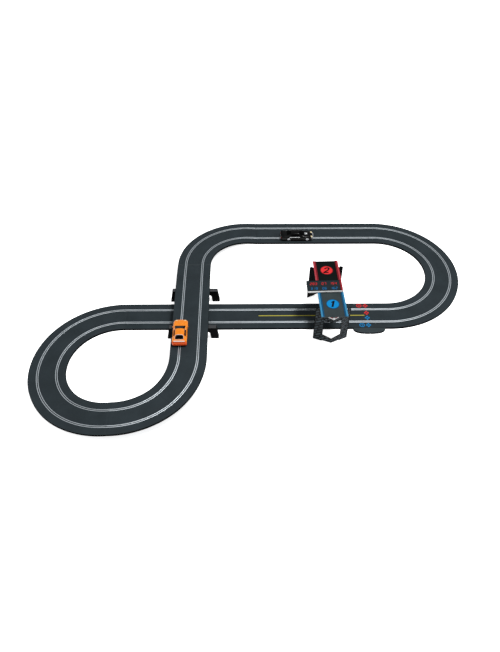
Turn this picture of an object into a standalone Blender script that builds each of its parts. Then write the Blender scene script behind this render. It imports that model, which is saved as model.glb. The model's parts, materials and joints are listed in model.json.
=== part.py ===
"""Two-lane slot car racing set, in metres, +Z up.

A figure-of-eight circuit of clip-together track lies on the floor. One limb crosses the
other on a bridge held by two portal supports. A start gantry stands astride the front
straight beside the power base, and two cars stand on the track, each held by the blade
of its guide in a slot. The origin is on the floor at the middle of the circuit.
"""

from math import cos, pi, radians, sin

import bmesh
import bpy
from mathutils import Matrix, Vector

# Track section
TRACK_WIDTH = 0.156
TRACK_HEIGHT = 0.009
LANE_OFFSET = TRACK_WIDTH / 4
SLOT_WIDTH = 0.003
SLOT_DEPTH = 0.0068
PLATE_THICKNESS = 0.0024
SKIRT_THICKNESS = 0.0024
CHANNEL_WALL = 0.0016
CHANNEL_FLOOR = 0.0012
EDGE_CHAMFER = 0.0006

# Track pieces: every straight is a share of the curves' centre-line radius
CURVE_RADIUS = 0.296
CURVE_ANGLE = radians(45)
CURVE_STEPS = 8
LONG = CURVE_RADIUS * 4 / 3
SHORT = CURVE_RADIUS * 2 / 3
QUARTER = CURVE_RADIUS / 3
LEFT = "left"
RIGHT = "right"
GAP = 0.0003
MERGE = 0.00001

# Heights of the track's underside along the bridge and its two ramps
BRIDGE = 0.065
FAR_RAMP_MIDDLE = 0.0268
FAR_RAMP_TOP = 0.0536
NEAR_RAMP = (0.047, 0.042, 0.012)

# Name, length or turn, and underside height at the end of each piece, in running order
CIRCUIT = (
    ("front_short_straight", SHORT, 0.0),
    ("front_crossing_straight", LONG, 0.0),
    ("front_centre_straight", LONG, 0.0),
    ("power_base", SHORT, 0.0),
    ("right_curve_1", LEFT, 0.0),
    ("right_curve_2", LEFT, 0.0),
    ("right_curve_3", LEFT, 0.0),
    ("right_curve_4", LEFT, 0.0),
    ("back_long_straight", LONG, 0.0),
    ("back_short_straight", SHORT, 0.0),
    ("far_ramp_curve_1", LEFT, FAR_RAMP_MIDDLE),
    ("far_ramp_curve_2", LEFT, FAR_RAMP_TOP),
    ("far_ramp_straight", QUARTER, BRIDGE),
    ("bridge_straight", LONG, BRIDGE),
    ("bridge_end_straight", QUARTER, BRIDGE),
    ("loop_curve_1", RIGHT, NEAR_RAMP[0]),
    ("loop_curve_2", RIGHT, NEAR_RAMP[1]),
    ("loop_curve_3", RIGHT, NEAR_RAMP[2]),
    ("loop_curve_4", RIGHT, 0.0),
    ("loop_curve_5", RIGHT, 0.0),
    ("loop_curve_6", RIGHT, 0.0),
)
BRIDGE_X = -CURVE_RADIUS

# Bridge supports
SUPPORT_X = BRIDGE_X + 0.010
SUPPORT_Y = (0.112, -0.119)
SUPPORT_DEPTH = 0.020
SUPPORT_FOOT_HALF = 0.113
SUPPORT_TOP_HALF = 0.103
SUPPORT_LEG = 0.034
SUPPORT_BEAM = 0.020
SUPPORT_CORNER = 0.010

# Connector housing on the power base's outer side
HOUSING_X = 0.494
HOUSING_HALF = 0.0715
HOUSING_REACH = 0.030
HOUSING_ROUNDNESS = 2.5
HOUSING_POINTS = 20
HOUSING_RIM = 0.002
COVER_THICKNESS = 0.0012
JACK_RADIUS = 0.00125
JACK_HEIGHT = 0.00325
JACK_SPACING = 0.026
JACK_BLOCK = (0.066, 0.008, 0.0034)
JACK_SETBACK = 0.004
JACK_WALL = 0.001
BOARD = (0.080, 0.014, 0.001)
BOARD_SHIFT = 0.003

# Start gantry
GANTRY_PLACE = (0.310, 0.001, 0.0)
GANTRY_TURN = radians(1.7)
WALL_HALF = 0.0748
WALL_CORNER_Y = 0.130
WALL_APEX_Y = 0.164
WALL_THICKNESS = 0.004
WALL_FIN_TOP = 0.186
WALL_FIN_ROOT = 0.183
WINDOW_HALF = 0.038
WINDOW_LOW_SIDE = 0.0385
WINDOW_LOW_APEX = 0.028
WINDOW_HIGH_SIDE = 0.133
WINDOW_HIGH_APEX = 0.124
BAND_TOP_SIDE = 0.156
BAND_TOP_APEX = 0.147
WALL_FOOT = 0.004
CHEVRON_HEIGHT = 0.009
CHEVRON_THICKNESS = 0.003
DECK_LOW = 0.176
DECK_THICKNESS = 0.0035
DECK_RAIL_HEIGHT = 0.0018
DECK_RAIL_WIDTH = 0.0145
DECK_HALF = 0.0565
DECK_REACH = 0.176
DISPLAY_SIZE = (0.154, 0.070, 0.0075)
DISPLAY_OFFSET = (-0.023, 0.003)
DISPLAY_BEZEL = 0.004
DISPLAY_RECESS = 0.001

# Cars, each along its own +X with its origin on the track's surface at mid length
WHEEL_RADIUS = 0.0106
WHEEL_HALF_WIDTH = 0.0048
WHEEL_INSET = 0.0068
WHEEL_ROUNDING = 0.0009
WHEEL_SEGMENTS = 16
HUB_RADIUS = 0.0074
HUB_DISH = 0.0016
AXLE_HEIGHT = WHEEL_RADIUS + GAP
AXLE_RADIUS = 0.0012
AXLE_INSET = 0.0035
BORE_RADIUS = 0.0015
BEARING_RADIUS = 0.0013
ARCH_RADIUS = 0.0124
BODY_SHELL = 0.001
GLAZING_INSET = 0.0019
GLAZING_THICKNESS = 0.0006
PAN_LOW = 0.003
PAN_TOP = 0.0046
PAN_NARROWING = 0.0040
NOTCH_HALF = 0.0135
NOTCH_INNER = {"rear": 0.0120, "front": 0.0140}
POST_SIZE = (0.004, 0.003)
POST_Y = {"rear": 0.0100, "front": 0.0115}
POST_ABOVE_AXLE = 0.0033
SADDLE_SIZE = (0.009, 0.003)
SADDLE_Y = (-0.0115, 0.0075)
BEARING_REACH = 0.020
GEAR_MODULE = 0.0007
GEAR_TEETH = 24
PINION_TEETH = 8
GEAR_Y = (0.013, 0.0155)
MOTOR_RAISE = radians(25)
MOTOR_RADIUS = 0.007
MOTOR_Y = (-0.015, 0.0112)
SHAFT_SOCKET = 0.006
SHAFT_GRIP = 0.001
GUIDE_AHEAD = 0.013
GUIDE_BLADE = (0.020, 0.0018, 0.0056)
STEM_RADIUS = 0.0020
STEM_PLAY = 0.00025
STEM_PROUD = 0.003
FLANGE_RADIUS = 0.005
FLANGE_THICKNESS = 0.0013

# Place and heading of each car, its half width, and the places of its parts along its own X
CARS = {
    "orange": {
        "place": (BRIDGE_X - LANE_OFFSET, -0.1755, BRIDGE + TRACK_HEIGHT),
        "heading": pi / 2,
        "half_width": 0.0310,
        "tail": -0.0715,
        "deck_edge": -0.0640,
        "rear_glass": -0.0555,
        "roof_rear": -0.0365,
        "roof_front": -0.0015,
        "cowl": 0.0235,
        "nose": 0.0715,
        "rear_axle": -0.0410,
        "front_axle": 0.0450,
    },
    "black": {
        "place": (0.208, 2 * CURVE_RADIUS - LANE_OFFSET, TRACK_HEIGHT),
        "heading": 0.0,
        "half_width": 0.0290,
        "tail": -0.0815,
        "deck_edge": -0.0755,
        "rear_glass": -0.0520,
        "roof_rear": -0.0310,
        "roof_front": 0.0110,
        "cowl": 0.0330,
        "nose": 0.0815,
        "rear_axle": -0.0420,
        "front_axle": 0.0510,
    },
}

# Colour, roughness and metallic value of each material
FINISHES = {
    "track_plastic": ((0.045, 0.055, 0.060), 0.55, 0.0),
    "support_plastic": ((0.008, 0.008, 0.009), 0.45, 0.0),
    "gantry_weave": ((0.030, 0.032, 0.034), 0.35, 0.0),
    "deck_plastic": ((0.040, 0.042, 0.044), 0.50, 0.0),
    "display_plastic": ((0.020, 0.022, 0.024), 0.25, 0.0),
    "trim_white": ((0.800, 0.780, 0.760), 0.40, 0.0),
    "cover_plastic": ((0.020, 0.022, 0.024), 0.60, 0.0),
    "circuit_board": ((0.020, 0.120, 0.050), 0.40, 0.0),
    "jack_plastic": ((0.015, 0.015, 0.015), 0.40, 0.0),
    "orange_paint": ((0.900, 0.260, 0.020), 0.22, 0.0),
    "black_paint": ((0.010, 0.010, 0.012), 0.12, 0.0),
    "glazing": ((0.015, 0.018, 0.020), 0.08, 0.0),
    "chassis_plastic": ((0.012, 0.012, 0.012), 0.55, 0.0),
    "tyre": ((0.012, 0.012, 0.012), 0.80, 0.0),
    "axle_steel": ((0.600, 0.600, 0.620), 0.25, 1.0),
    "gear_nylon": ((0.850, 0.820, 0.700), 0.45, 0.0),
    "pinion_brass": ((0.780, 0.570, 0.220), 0.30, 1.0),
    "motor_can": ((0.550, 0.560, 0.580), 0.30, 1.0),
    "guide_nylon": ((0.020, 0.020, 0.020), 0.50, 0.0),
}


def clear_scene():
    """Remove every object that the scene starts with."""
    for item in list(bpy.data.objects):
        bpy.data.objects.remove(item, do_unlink=True)


def make_material(name):
    """One Principled material of the finishes table."""
    colour, roughness, metallic = FINISHES[name]
    material = bpy.data.materials.new(name)
    material.use_nodes = True
    shader = material.node_tree.nodes["Principled BSDF"]
    shader.inputs["Base Color"].default_value = (*colour, 1.0)
    shader.inputs["Roughness"].default_value = roughness
    shader.inputs["Metallic"].default_value = metallic
    return material


def make_collection(name):
    """A collection linked to the scene."""
    collection = bpy.data.collections.new(name)
    bpy.context.scene.collection.children.link(collection)
    return collection


class Workshop:
    """The collections and materials that every piece shares."""

    def __init__(self):
        self.parts = make_collection("slot_car_track_set")
        self.cutters = make_collection("cutters")
        self.materials = {name: make_material(name) for name in FINISHES}

    def add(self, name, bm, material, parent=None, location=(0, 0, 0), turn=0.0):
        """Store a bmesh as a named piece."""
        bmesh.ops.recalc_face_normals(bm, faces=bm.faces)
        mesh = bpy.data.meshes.new(name)
        bm.to_mesh(mesh)
        bm.free()
        mesh.materials.append(self.materials[material])
        piece = bpy.data.objects.new(name, mesh)
        piece.location = location
        piece.rotation_euler = (0, 0, turn)
        piece.parent = parent
        self.parts.objects.link(piece)
        return piece

    def cutter(self, name, bm, parent=None):
        """Store a bmesh as a hidden cutting tool."""
        bmesh.ops.recalc_face_normals(bm, faces=bm.faces)
        mesh = bpy.data.meshes.new(name)
        bm.to_mesh(mesh)
        bm.free()
        tool = bpy.data.objects.new(name, mesh)
        tool.parent = parent
        tool.display_type = "WIRE"
        tool.hide_render = True
        self.cutters.objects.link(tool)
        return tool

    def empty(self, name, location, turn=0.0, parent=None):
        """A bare frame that pieces hang from."""
        frame = bpy.data.objects.new(name, None)
        frame.location = location
        frame.rotation_euler = (0, 0, turn)
        frame.parent = parent
        self.parts.objects.link(frame)
        return frame


def boolean(piece, tool, operation):
    """Cut a piece by a tool, or weld the tool's solid on to it."""
    modifier = piece.modifiers.new(tool.name, "BOOLEAN")
    modifier.operation = operation
    modifier.object = tool


def solidify(piece, thickness):
    """Give an open surface its thickness, inwards."""
    modifier = piece.modifiers.new("wall", "SOLIDIFY")
    modifier.thickness = thickness
    modifier.offset = -1.0
    modifier.use_even_offset = True


def mirror(piece):
    """Add the other half across the piece's own YZ plane."""
    modifier = piece.modifiers.new("other_half", "MIRROR")
    modifier.merge_threshold = MERGE


def box(size, centre):
    """A block as a bmesh."""
    bm = bmesh.new()
    scale = Matrix.Diagonal((*size, 1))
    bmesh.ops.create_cube(bm, size=1, matrix=Matrix.Translation(centre) @ scale)
    return bm


def cylinder(radius, start, end, segments):
    """A round bar between two points, as a bmesh."""
    bm = bmesh.new()
    start, end = Vector(start), Vector(end)
    axis = end - start
    turn = axis.to_track_quat("Z", "Y").to_matrix().to_4x4()
    matrix = Matrix.Translation((start + end) / 2) @ turn
    bmesh.ops.create_cone(bm, cap_ends=True, segments=segments, radius1=radius, radius2=radius,
                          depth=axis.length, matrix=matrix)
    return bm


def prism(outline, sweep):
    """A flat outline of 3-D points swept along a vector."""
    bm = bmesh.new()
    face = bm.faces.new([bm.verts.new(point) for point in outline])
    swept = bmesh.ops.extrude_face_region(bm, geom=[face])
    far = [item for item in swept["geom"] if isinstance(item, bmesh.types.BMVert)]
    bmesh.ops.translate(bm, vec=sweep, verts=far)
    bmesh.ops.holes_fill(bm, edges=bm.edges)
    return bm


# ---------------------------------------------------------------- track

def track_profile():
    """Section of a track piece, as (sideways, up) points, anticlockwise."""
    edge = TRACK_WIDTH / 2
    inner = edge - SKIRT_THICKNESS
    plate = TRACK_HEIGHT - PLATE_THICKNESS
    slot = SLOT_WIDTH / 2
    floor = TRACK_HEIGHT - SLOT_DEPTH
    shell = slot + CHANNEL_WALL
    base = floor - CHANNEL_FLOOR
    under = [(inner, 0.0), (inner, plate)]
    for lane in (LANE_OFFSET, -LANE_OFFSET):
        under += [(lane + shell, plate), (lane + shell, base)]
        under += [(lane - shell, base), (lane - shell, plate)]
    under += [(-inner, plate), (-inner, 0.0)]
    side = [(-edge, 0.0), (-edge, TRACK_HEIGHT - EDGE_CHAMFER), (-edge + EDGE_CHAMFER, TRACK_HEIGHT)]
    top = []
    for lane in (-LANE_OFFSET, LANE_OFFSET):
        top += [(lane - slot, TRACK_HEIGHT), (lane - slot, floor)]
        top += [(lane + slot, floor), (lane + slot, TRACK_HEIGHT)]
    other = [(edge - EDGE_CHAMFER, TRACK_HEIGHT), (edge, TRACK_HEIGHT - EDGE_CHAMFER), (edge, 0.0)]
    return under + side + top + other


def straight_track(length, rise):
    """A straight piece along +X whose far end is higher by the rise."""
    slope = rise / length
    start = GAP / 2
    outline = [(start, across, up + slope * start) for across, up in track_profile()]
    run = length - GAP
    return prism(outline, (run, 0, slope * run))


def curved_track(side, rise):
    """A 45 degree piece from +X heading, turning left or right and climbing evenly."""
    sign = 1 if side == LEFT else -1
    centre = Vector((0, sign * CURVE_RADIUS, 0))
    trim = GAP / 2 / (CURVE_RADIUS - TRACK_WIDTH / 2)
    share = trim / CURVE_ANGLE
    bm = bmesh.new()
    face = bm.faces.new([bm.verts.new((0, across, up)) for across, up in track_profile()])
    bmesh.ops.rotate(bm, cent=centre, matrix=Matrix.Rotation(sign * trim, 3, "Z"), verts=bm.verts)
    bmesh.ops.translate(bm, vec=(0, 0, rise * share), verts=bm.verts)
    climb = rise * (1 - 2 * share) / CURVE_STEPS
    geometry = [*bm.verts, *bm.edges, face]
    bmesh.ops.spin(bm, geom=geometry, cent=centre, axis=(0, 0, sign), dvec=(0, 0, climb),
                   angle=CURVE_ANGLE - 2 * trim, steps=CURVE_STEPS)
    bmesh.ops.holes_fill(bm, edges=bm.edges)
    return bm


def build_circuit(shop):
    """Lay the pieces end to end from the left end of the front straight."""
    x, y, heading, height = -2 * CURVE_RADIUS, 0.0, 0.0, 0.0
    for name, step, end_height in CIRCUIT:
        rise = end_height - height
        turning = step in (LEFT, RIGHT)
        bm = curved_track(step, rise) if turning else straight_track(step, rise)
        shop.add(name, bm, "track_plastic", location=(x, y, height), turn=heading)
        if turning:
            sign = 1 if step == LEFT else -1
            chord = 2 * CURVE_RADIUS * sin(CURVE_ANGLE / 2)
            bearing = heading + sign * CURVE_ANGLE / 2
            heading += sign * CURVE_ANGLE
        else:
            chord = step
            bearing = heading
        x += chord * cos(bearing)
        y += chord * sin(bearing)
        height = end_height


# ---------------------------------------------------------------- bridge supports

def support_solid():
    """A portal whose legs splay outwards towards the floor."""
    splay = (SUPPORT_FOOT_HALF - SUPPORT_TOP_HALF) / BRIDGE
    top = BRIDGE - GAP
    under = top - SUPPORT_BEAM

    def inner(height):
        return SUPPORT_FOOT_HALF - SUPPORT_LEG - splay * height

    half = [
        (SUPPORT_TOP_HALF, top),
        (SUPPORT_FOOT_HALF, 0.0),
        (inner(0.0), 0.0),
        (inner(under - SUPPORT_CORNER), under - SUPPORT_CORNER),
        (inner(under) - SUPPORT_CORNER, under),
    ]
    other = [(-across, up) for across, up in reversed(half)]
    outline = [(across, -SUPPORT_DEPTH / 2, up) for across, up in half + other]
    return prism(outline, (0, SUPPORT_DEPTH, 0))


def build_supports(shop):
    """One portal beyond the front straight and one before it."""
    for name, y in zip(("far_support", "near_support"), SUPPORT_Y):
        shop.add(name, support_solid(), "support_plastic", location=(SUPPORT_X, y, 0))


# ---------------------------------------------------------------- connector housing

def housing_outline(inset):
    """Outline of the housing in plan, stepped inwards by the inset."""
    half = HOUSING_HALF - inset
    reach = HOUSING_REACH - inset
    points = []
    for index in range(HOUSING_POINTS + 1):
        angle = pi * index / HOUSING_POINTS
        power = 2 / HOUSING_ROUNDNESS
        across = abs(cos(angle)) ** power * half
        out = sin(angle) ** power * (reach - inset)
        points.append((across if angle < pi / 2 else -across, -inset - out))
    return points


def build_housing(shop):
    """Housing, cover, circuit board and jack block beside the power base."""
    place = (HOUSING_X, -TRACK_WIDTH / 2 - GAP, 0)
    frame = shop.empty("connector_frame", place)
    outline = [(x, y, 0.0) for x, y in housing_outline(0.0)]
    housing = shop.add("connector_housing", prism(outline, (0, 0, TRACK_HEIGHT)), "track_plastic", frame)
    room = [(x, y, -HOUSING_RIM) for x, y in housing_outline(HOUSING_RIM)]
    depth = TRACK_HEIGHT - PLATE_THICKNESS + HOUSING_RIM
    hollow = shop.cutter("housing_room", prism(room, (0, 0, depth)), frame)
    boolean(housing, hollow, "DIFFERENCE")
    sheet = [(x, y, 0.0) for x, y in housing_outline(HOUSING_RIM + GAP)]
    shop.add("housing_cover", prism(sheet, (0, 0, COVER_THICKNESS)), "cover_plastic", frame)

    block_y = -HOUSING_REACH + HOUSING_RIM + JACK_BLOCK[1] / 2 + JACK_SETBACK
    block_z = COVER_THICKNESS + GAP + JACK_BLOCK[2] / 2
    block = shop.add("jack_block", box(JACK_BLOCK, (0, block_y, block_z)), "jack_plastic", frame)
    board_z = block_z + JACK_BLOCK[2] / 2 + GAP + BOARD[2] / 2
    shop.add("circuit_board", box(BOARD, (0, block_y + BOARD_SHIFT, board_z)), "circuit_board", frame)
    for index, offset in enumerate((-JACK_SPACING, 0.0, JACK_SPACING)):
        inside = block_y + JACK_BLOCK[1] / 2 - JACK_WALL
        start = (offset, inside, JACK_HEIGHT)
        end = (offset, -HOUSING_REACH - HOUSING_RIM, JACK_HEIGHT)
        bore = shop.cutter(f"jack_bore_{index + 1}", cylinder(JACK_RADIUS, start, end, 12), frame)
        boolean(housing, bore, "DIFFERENCE")
        boolean(block, bore, "DIFFERENCE")


# ---------------------------------------------------------------- gantry

def folded(across, up, skin=0.0):
    """A point of a wall that is folded outwards along its upright middle line."""
    lean = (WALL_APEX_Y - WALL_CORNER_Y) * (1 - abs(across) / WALL_HALF)
    return (across, -WALL_CORNER_Y - lean + skin, up)


def gantry_wall():
    """Left half of a wall: outer bar, low band and high band round half a window."""
    shelf = DECK_LOW - GAP
    fin_root = DECK_HALF + 2 * DECK_RAIL_HEIGHT
    outline = [
        (-WALL_HALF, 0.0),
        (-WINDOW_HALF, 0.0),
        (-WINDOW_HALF, WALL_FOOT),
        (0.0, WALL_FOOT),
        (0.0, WINDOW_LOW_APEX),
        (-WINDOW_HALF, WINDOW_LOW_SIDE),
        (-WINDOW_HALF, WINDOW_HIGH_SIDE),
        (0.0, WINDOW_HIGH_APEX),
        (0.0, BAND_TOP_APEX),
        (-WINDOW_HALF, BAND_TOP_SIDE),
        (-WINDOW_HALF, shelf),
        (-fin_root, shelf),
        (-fin_root, WALL_FIN_ROOT),
        (-WALL_HALF, WALL_FIN_TOP),
    ]
    bm = bmesh.new()
    bm.faces.new([bm.verts.new(folded(*point)) for point in outline])
    return bm


def gantry_chevron():
    """Left half of the pale strip that lies along the top of a wall's high band."""
    side = -WINDOW_HALF + GAP
    outline = [
        (side, BAND_TOP_SIDE + GAP),
        (0.0, BAND_TOP_APEX + GAP),
        (0.0, BAND_TOP_APEX + CHEVRON_HEIGHT),
        (side, BAND_TOP_SIDE + CHEVRON_HEIGHT),
    ]
    bm = bmesh.new()
    bm.faces.new([bm.verts.new(folded(*point)) for point in outline])
    return bm


def deck_solid():
    """Half of the roof: a plate with a raised rail along each side."""
    top = DECK_LOW + DECK_THICKNESS
    rail = top + DECK_RAIL_HEIGHT
    step = DECK_HALF - DECK_RAIL_WIDTH
    outline = [
        (-DECK_HALF, DECK_LOW),
        (DECK_HALF, DECK_LOW),
        (DECK_HALF, rail),
        (step, rail),
        (step, top),
        (-step, top),
        (-step, rail),
        (-DECK_HALF, rail),
    ]
    length = DECK_REACH - GAP / 2
    return prism([(across, -DECK_REACH, up) for across, up in outline], (0, length, 0))


def display_solid():
    """A flat board with a shallow recess inside its bezel."""
    low = DECK_LOW + DECK_THICKNESS + DECK_RAIL_HEIGHT + GAP
    centre = (*DISPLAY_OFFSET, low + DISPLAY_SIZE[2] / 2)
    bm = box(DISPLAY_SIZE, centre)
    bm.faces.ensure_lookup_table()
    top = max(bm.faces, key=lambda face: face.calc_center_median().z)
    bmesh.ops.inset_individual(bm, faces=[top], thickness=DISPLAY_BEZEL, depth=0)
    bmesh.ops.inset_individual(bm, faces=[top], thickness=DISPLAY_RECESS, depth=-DISPLAY_RECESS)
    return bm


def build_gantry(shop):
    """Two walls, two roof halves, their trims and the display board."""
    frame = shop.empty("gantry_frame", GANTRY_PLACE, GANTRY_TURN)
    for name, turn in (("near", 0.0), ("far", pi)):
        wall = shop.add(f"{name}_gantry_wall", gantry_wall(), "gantry_weave", frame, turn=turn)
        mirror(wall)
        solidify(wall, WALL_THICKNESS)
        chevron = shop.add(f"{name}_chevron", gantry_chevron(), "trim_white", frame, turn=turn)
        mirror(chevron)
        solidify(chevron, CHEVRON_THICKNESS)
        shop.add(f"{name}_deck", deck_solid(), "deck_plastic", frame, turn=turn)
    shop.add("display_board", display_solid(), "display_plastic", frame)


# ---------------------------------------------------------------- cars

# Body stations are numbered from tail to nose
REAR_GLASS_STATION = 3
ROOF_REAR_STATION = 4
ROOF_FRONT_STATION = 6
COWL_STATION = 7
SECTION_HALF = 7
SIDE_GLASS = 3
ROOF_EDGE = 5


def body_stations(car):
    """Place, half width, lower edge, deck height, roof half width and roof height, tail to nose.

    The last two are None where the section has no cabin.
    """
    half = car["half_width"]
    roof = half * 0.68
    middle = (car["roof_rear"] + car["roof_front"]) / 2
    bonnet = car["cowl"] + (car["nose"] - car["cowl"]) * 0.50
    lip = car["nose"] - 0.0085
    return (
        (car["tail"], half * 0.90, 0.0085, 0.0190, None, None),
        (car["tail"] + 0.0030, half * 0.96, 0.0060, 0.0225, None, None),
        (car["deck_edge"], half * 0.99, 0.0050, 0.0285, None, None),
        (car["rear_glass"], half, 0.0050, 0.0295, None, None),
        (car["roof_rear"], half, 0.0050, 0.0285, roof - 0.0008, 0.0405),
        (middle, half, 0.0050, 0.0278, roof, 0.0420),
        (car["roof_front"], half * 0.99, 0.0050, 0.0274, roof - 0.0006, 0.0412),
        (car["cowl"], half * 0.99, 0.0050, 0.0272, None, None),
        (bonnet, half, 0.0050, 0.0262, None, None),
        (lip, half * 0.97, 0.0055, 0.0225, None, None),
        (car["nose"] - 0.0025, half * 0.90, 0.0070, 0.0195, None, None),
        (car["nose"], half * 0.80, 0.0085, 0.0165, None, None),
    )


def body_section(station, inset=0.0):
    """Points of one section from the right sill over the top to the left sill."""
    x, half, low, deck, roof_half, roof = station
    waist = low + (deck - low) * 0.45
    sill = [(half - 0.0012, low), (half, waist), (half - 0.0006, deck - 0.0035)]
    crown = [(half * 0.84, deck)]
    if roof is None:
        crown += [(half * 0.74, deck + 0.0003), (half * 0.66, deck + 0.0005), (half * 0.35, deck + 0.0010)]
        top = deck + 0.0012
    else:
        edge = roof - 0.0042
        crown += [(roof_half + 0.0006, edge), (roof_half - 0.0014, roof - 0.0015)]
        crown += [(roof_half * 0.50, roof - 0.0003)]
        top = roof
    right = [(-across + inset, up - inset) for across, up in sill + crown]
    left = [(-across, up) for across, up in reversed(right)]
    return [Vector((x, across, up)) for across, up in right + [(0.0, top - inset)] + left]


def is_window(station, strip):
    """Whether a patch of the body, by station and strip number, is a window."""
    last = 2 * SECTION_HALF - 1
    side = strip in (SIDE_GLASS, last - SIDE_GLASS)
    over = ROOF_EDGE <= strip <= last - ROOF_EDGE
    if side:
        return ROOF_REAR_STATION <= station < ROOF_FRONT_STATION
    return over and station in (REAR_GLASS_STATION, ROOF_FRONT_STATION)


def body_surface(car):
    """The body's open outer surface, with its window patches left out."""
    bm = bmesh.new()
    rows = [[bm.verts.new(point) for point in body_section(station)] for station in body_stations(car)]
    for station in range(len(rows) - 1):
        for strip in range(len(rows[0]) - 1):
            if is_window(station, strip):
                continue
            near, far = rows[station], rows[station + 1]
            bm.faces.new((near[strip], near[strip + 1], far[strip + 1], far[strip]))
    bm.faces.new(rows[0])
    bm.faces.new(rows[-1])
    return bm


def glazing_surface(car):
    """The clear moulding under the roof, set in from the body's outer surface."""
    bm = bmesh.new()
    rows = []
    for station in body_stations(car)[REAR_GLASS_STATION:COWL_STATION + 1]:
        section = body_section(station, GLAZING_INSET)
        rows.append([bm.verts.new(point) for point in section[SIDE_GLASS:-SIDE_GLASS]])
    for near, far in zip(rows, rows[1:]):
        for strip in range(len(near) - 1):
            bm.faces.new((near[strip], near[strip + 1], far[strip + 1], far[strip]))
    return bm


def build_body(shop, name, car, frame):
    """Painted shell with wheel arches, and the glazing inside it."""
    body = shop.add(f"{name}_body_shell", body_surface(car), f"{name}_paint", frame)
    solidify(body, BODY_SHELL)
    reach = car["half_width"] + ARCH_RADIUS
    for end in ("rear", "front"):
        x = car[f"{end}_axle"]
        bm = cylinder(ARCH_RADIUS, (x, -reach, AXLE_HEIGHT), (x, reach, AXLE_HEIGHT), 20)
        boolean(body, shop.cutter(f"{name}_{end}_arch", bm, frame), "DIFFERENCE")
    glazing = shop.add(f"{name}_glazing", glazing_surface(car), "glazing", frame)
    solidify(glazing, GLAZING_THICKNESS)


def pan_outline(car):
    """Plan of the chassis pan, notched round the wheels."""
    rear = (car["rear_axle"] - NOTCH_HALF, car["rear_axle"] + NOTCH_HALF)
    front = (car["front_axle"] - NOTCH_HALF, car["front_axle"] + NOTCH_HALF)
    wide = car["half_width"] - PAN_NARROWING
    half = [
        (car["tail"] + 0.0050, wide - 0.0050),
        (rear[0], wide - 0.0010),
        (rear[0], NOTCH_INNER["rear"]),
        (rear[1], NOTCH_INNER["rear"]),
        (rear[1], wide),
        (front[0], wide),
        (front[0], NOTCH_INNER["front"]),
        (front[1], NOTCH_INNER["front"]),
        (front[1], wide - 0.0030),
        (car["nose"] - 0.0060, wide - 0.0080),
    ]
    other = [(x, -y) for x, y in reversed(half)]
    return half + other


def motor_centre(car):
    """Centre line of the motor's shaft, as (x, z)."""
    distance = GEAR_MODULE * (GEAR_TEETH + PINION_TEETH) / 2
    return (car["rear_axle"] + distance * cos(MOTOR_RAISE), AXLE_HEIGHT + distance * sin(MOTOR_RAISE))


def build_chassis(shop, name, car, frame):
    """Pan with axle posts, motor saddles and the guide's bearing hole."""
    pan = prism([(x, y, PAN_LOW) for x, y in pan_outline(car)], (0, 0, PAN_TOP - PAN_LOW))
    chassis = shop.add(f"{name}_chassis", pan, "chassis_plastic", frame)
    post_low = (PAN_LOW + PAN_TOP) / 2
    post_top = AXLE_HEIGHT + POST_ABOVE_AXLE
    blocks = []
    for end, y in POST_Y.items():
        for side in (-1, 1):
            size = (*POST_SIZE, post_top - post_low)
            blocks.append((size, (car[f"{end}_axle"], side * y, (post_low + post_top) / 2)))
    motor_x, motor_z = motor_centre(car)
    saddle_top = motor_z - MOTOR_RADIUS - GAP
    for y in SADDLE_Y:
        size = (*SADDLE_SIZE, saddle_top - post_low)
        blocks.append((size, (motor_x, y, (post_low + saddle_top) / 2)))
    for index, (size, centre) in enumerate(blocks):
        tool = shop.cutter(f"{name}_chassis_block_{index + 1}", box(size, centre), frame)
        boolean(chassis, tool, "UNION")
    for end in ("rear", "front"):
        x = car[f"{end}_axle"]
        start, stop = (x, -BEARING_REACH, AXLE_HEIGHT), (x, BEARING_REACH, AXLE_HEIGHT)
        bm = cylinder(BEARING_RADIUS, start, stop, 12)
        boolean(chassis, shop.cutter(f"{name}_{end}_bearing", bm, frame), "DIFFERENCE")
    guide_x = car["front_axle"] + GUIDE_AHEAD
    bm = cylinder(STEM_RADIUS + STEM_PLAY, (guide_x, 0, 0), (guide_x, 0, 2 * PAN_TOP), 16)
    boolean(chassis, shop.cutter(f"{name}_guide_bearing", bm, frame), "DIFFERENCE")


def wheel_solid():
    """A tyre on its hub, turned about Y, with the outer face towards +Y."""
    wide = WHEEL_HALF_WIDTH
    tread = WHEEL_RADIUS - WHEEL_ROUNDING
    profile = [
        (WHEEL_RADIUS, wide - WHEEL_ROUNDING),
        (tread, wide),
        (HUB_RADIUS, wide),
        (HUB_RADIUS - WHEEL_ROUNDING, wide - HUB_DISH),
        (BORE_RADIUS, wide - HUB_DISH / 2),
        (BORE_RADIUS, -wide),
        (tread, -wide),
        (WHEEL_RADIUS, -wide + WHEEL_ROUNDING),
    ]
    bm = bmesh.new()
    rings = []
    for index in range(WHEEL_SEGMENTS):
        angle = 2 * pi * index / WHEEL_SEGMENTS
        rings.append([bm.verts.new((r * cos(angle), y, r * sin(angle))) for r, y in profile])
    for ring, after in zip(rings, rings[1:] + rings[:1]):
        for index in range(len(profile)):
            following = (index + 1) % len(profile)
            bm.faces.new((ring[index], ring[following], after[following], after[index]))
    return bm


def gear_outline(teeth, first_angle):
    """Outline of a spur gear, as (x, z) points; the first tooth points at the angle."""
    pitch = GEAR_MODULE * teeth / 2
    root, tip = pitch - 1.15 * GEAR_MODULE, pitch + 0.80 * GEAR_MODULE
    root_half, tip_half = 0.85 * GEAR_MODULE, 0.28 * GEAR_MODULE
    points = []
    for index in range(teeth):
        centre = first_angle + 2 * pi * index / teeth
        for radius, offset in ((root, -root_half), (tip, -tip_half), (tip, tip_half), (root, root_half)):
            angle = centre + offset / radius
            points.append((radius * cos(angle), radius * sin(angle)))
    return points


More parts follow.
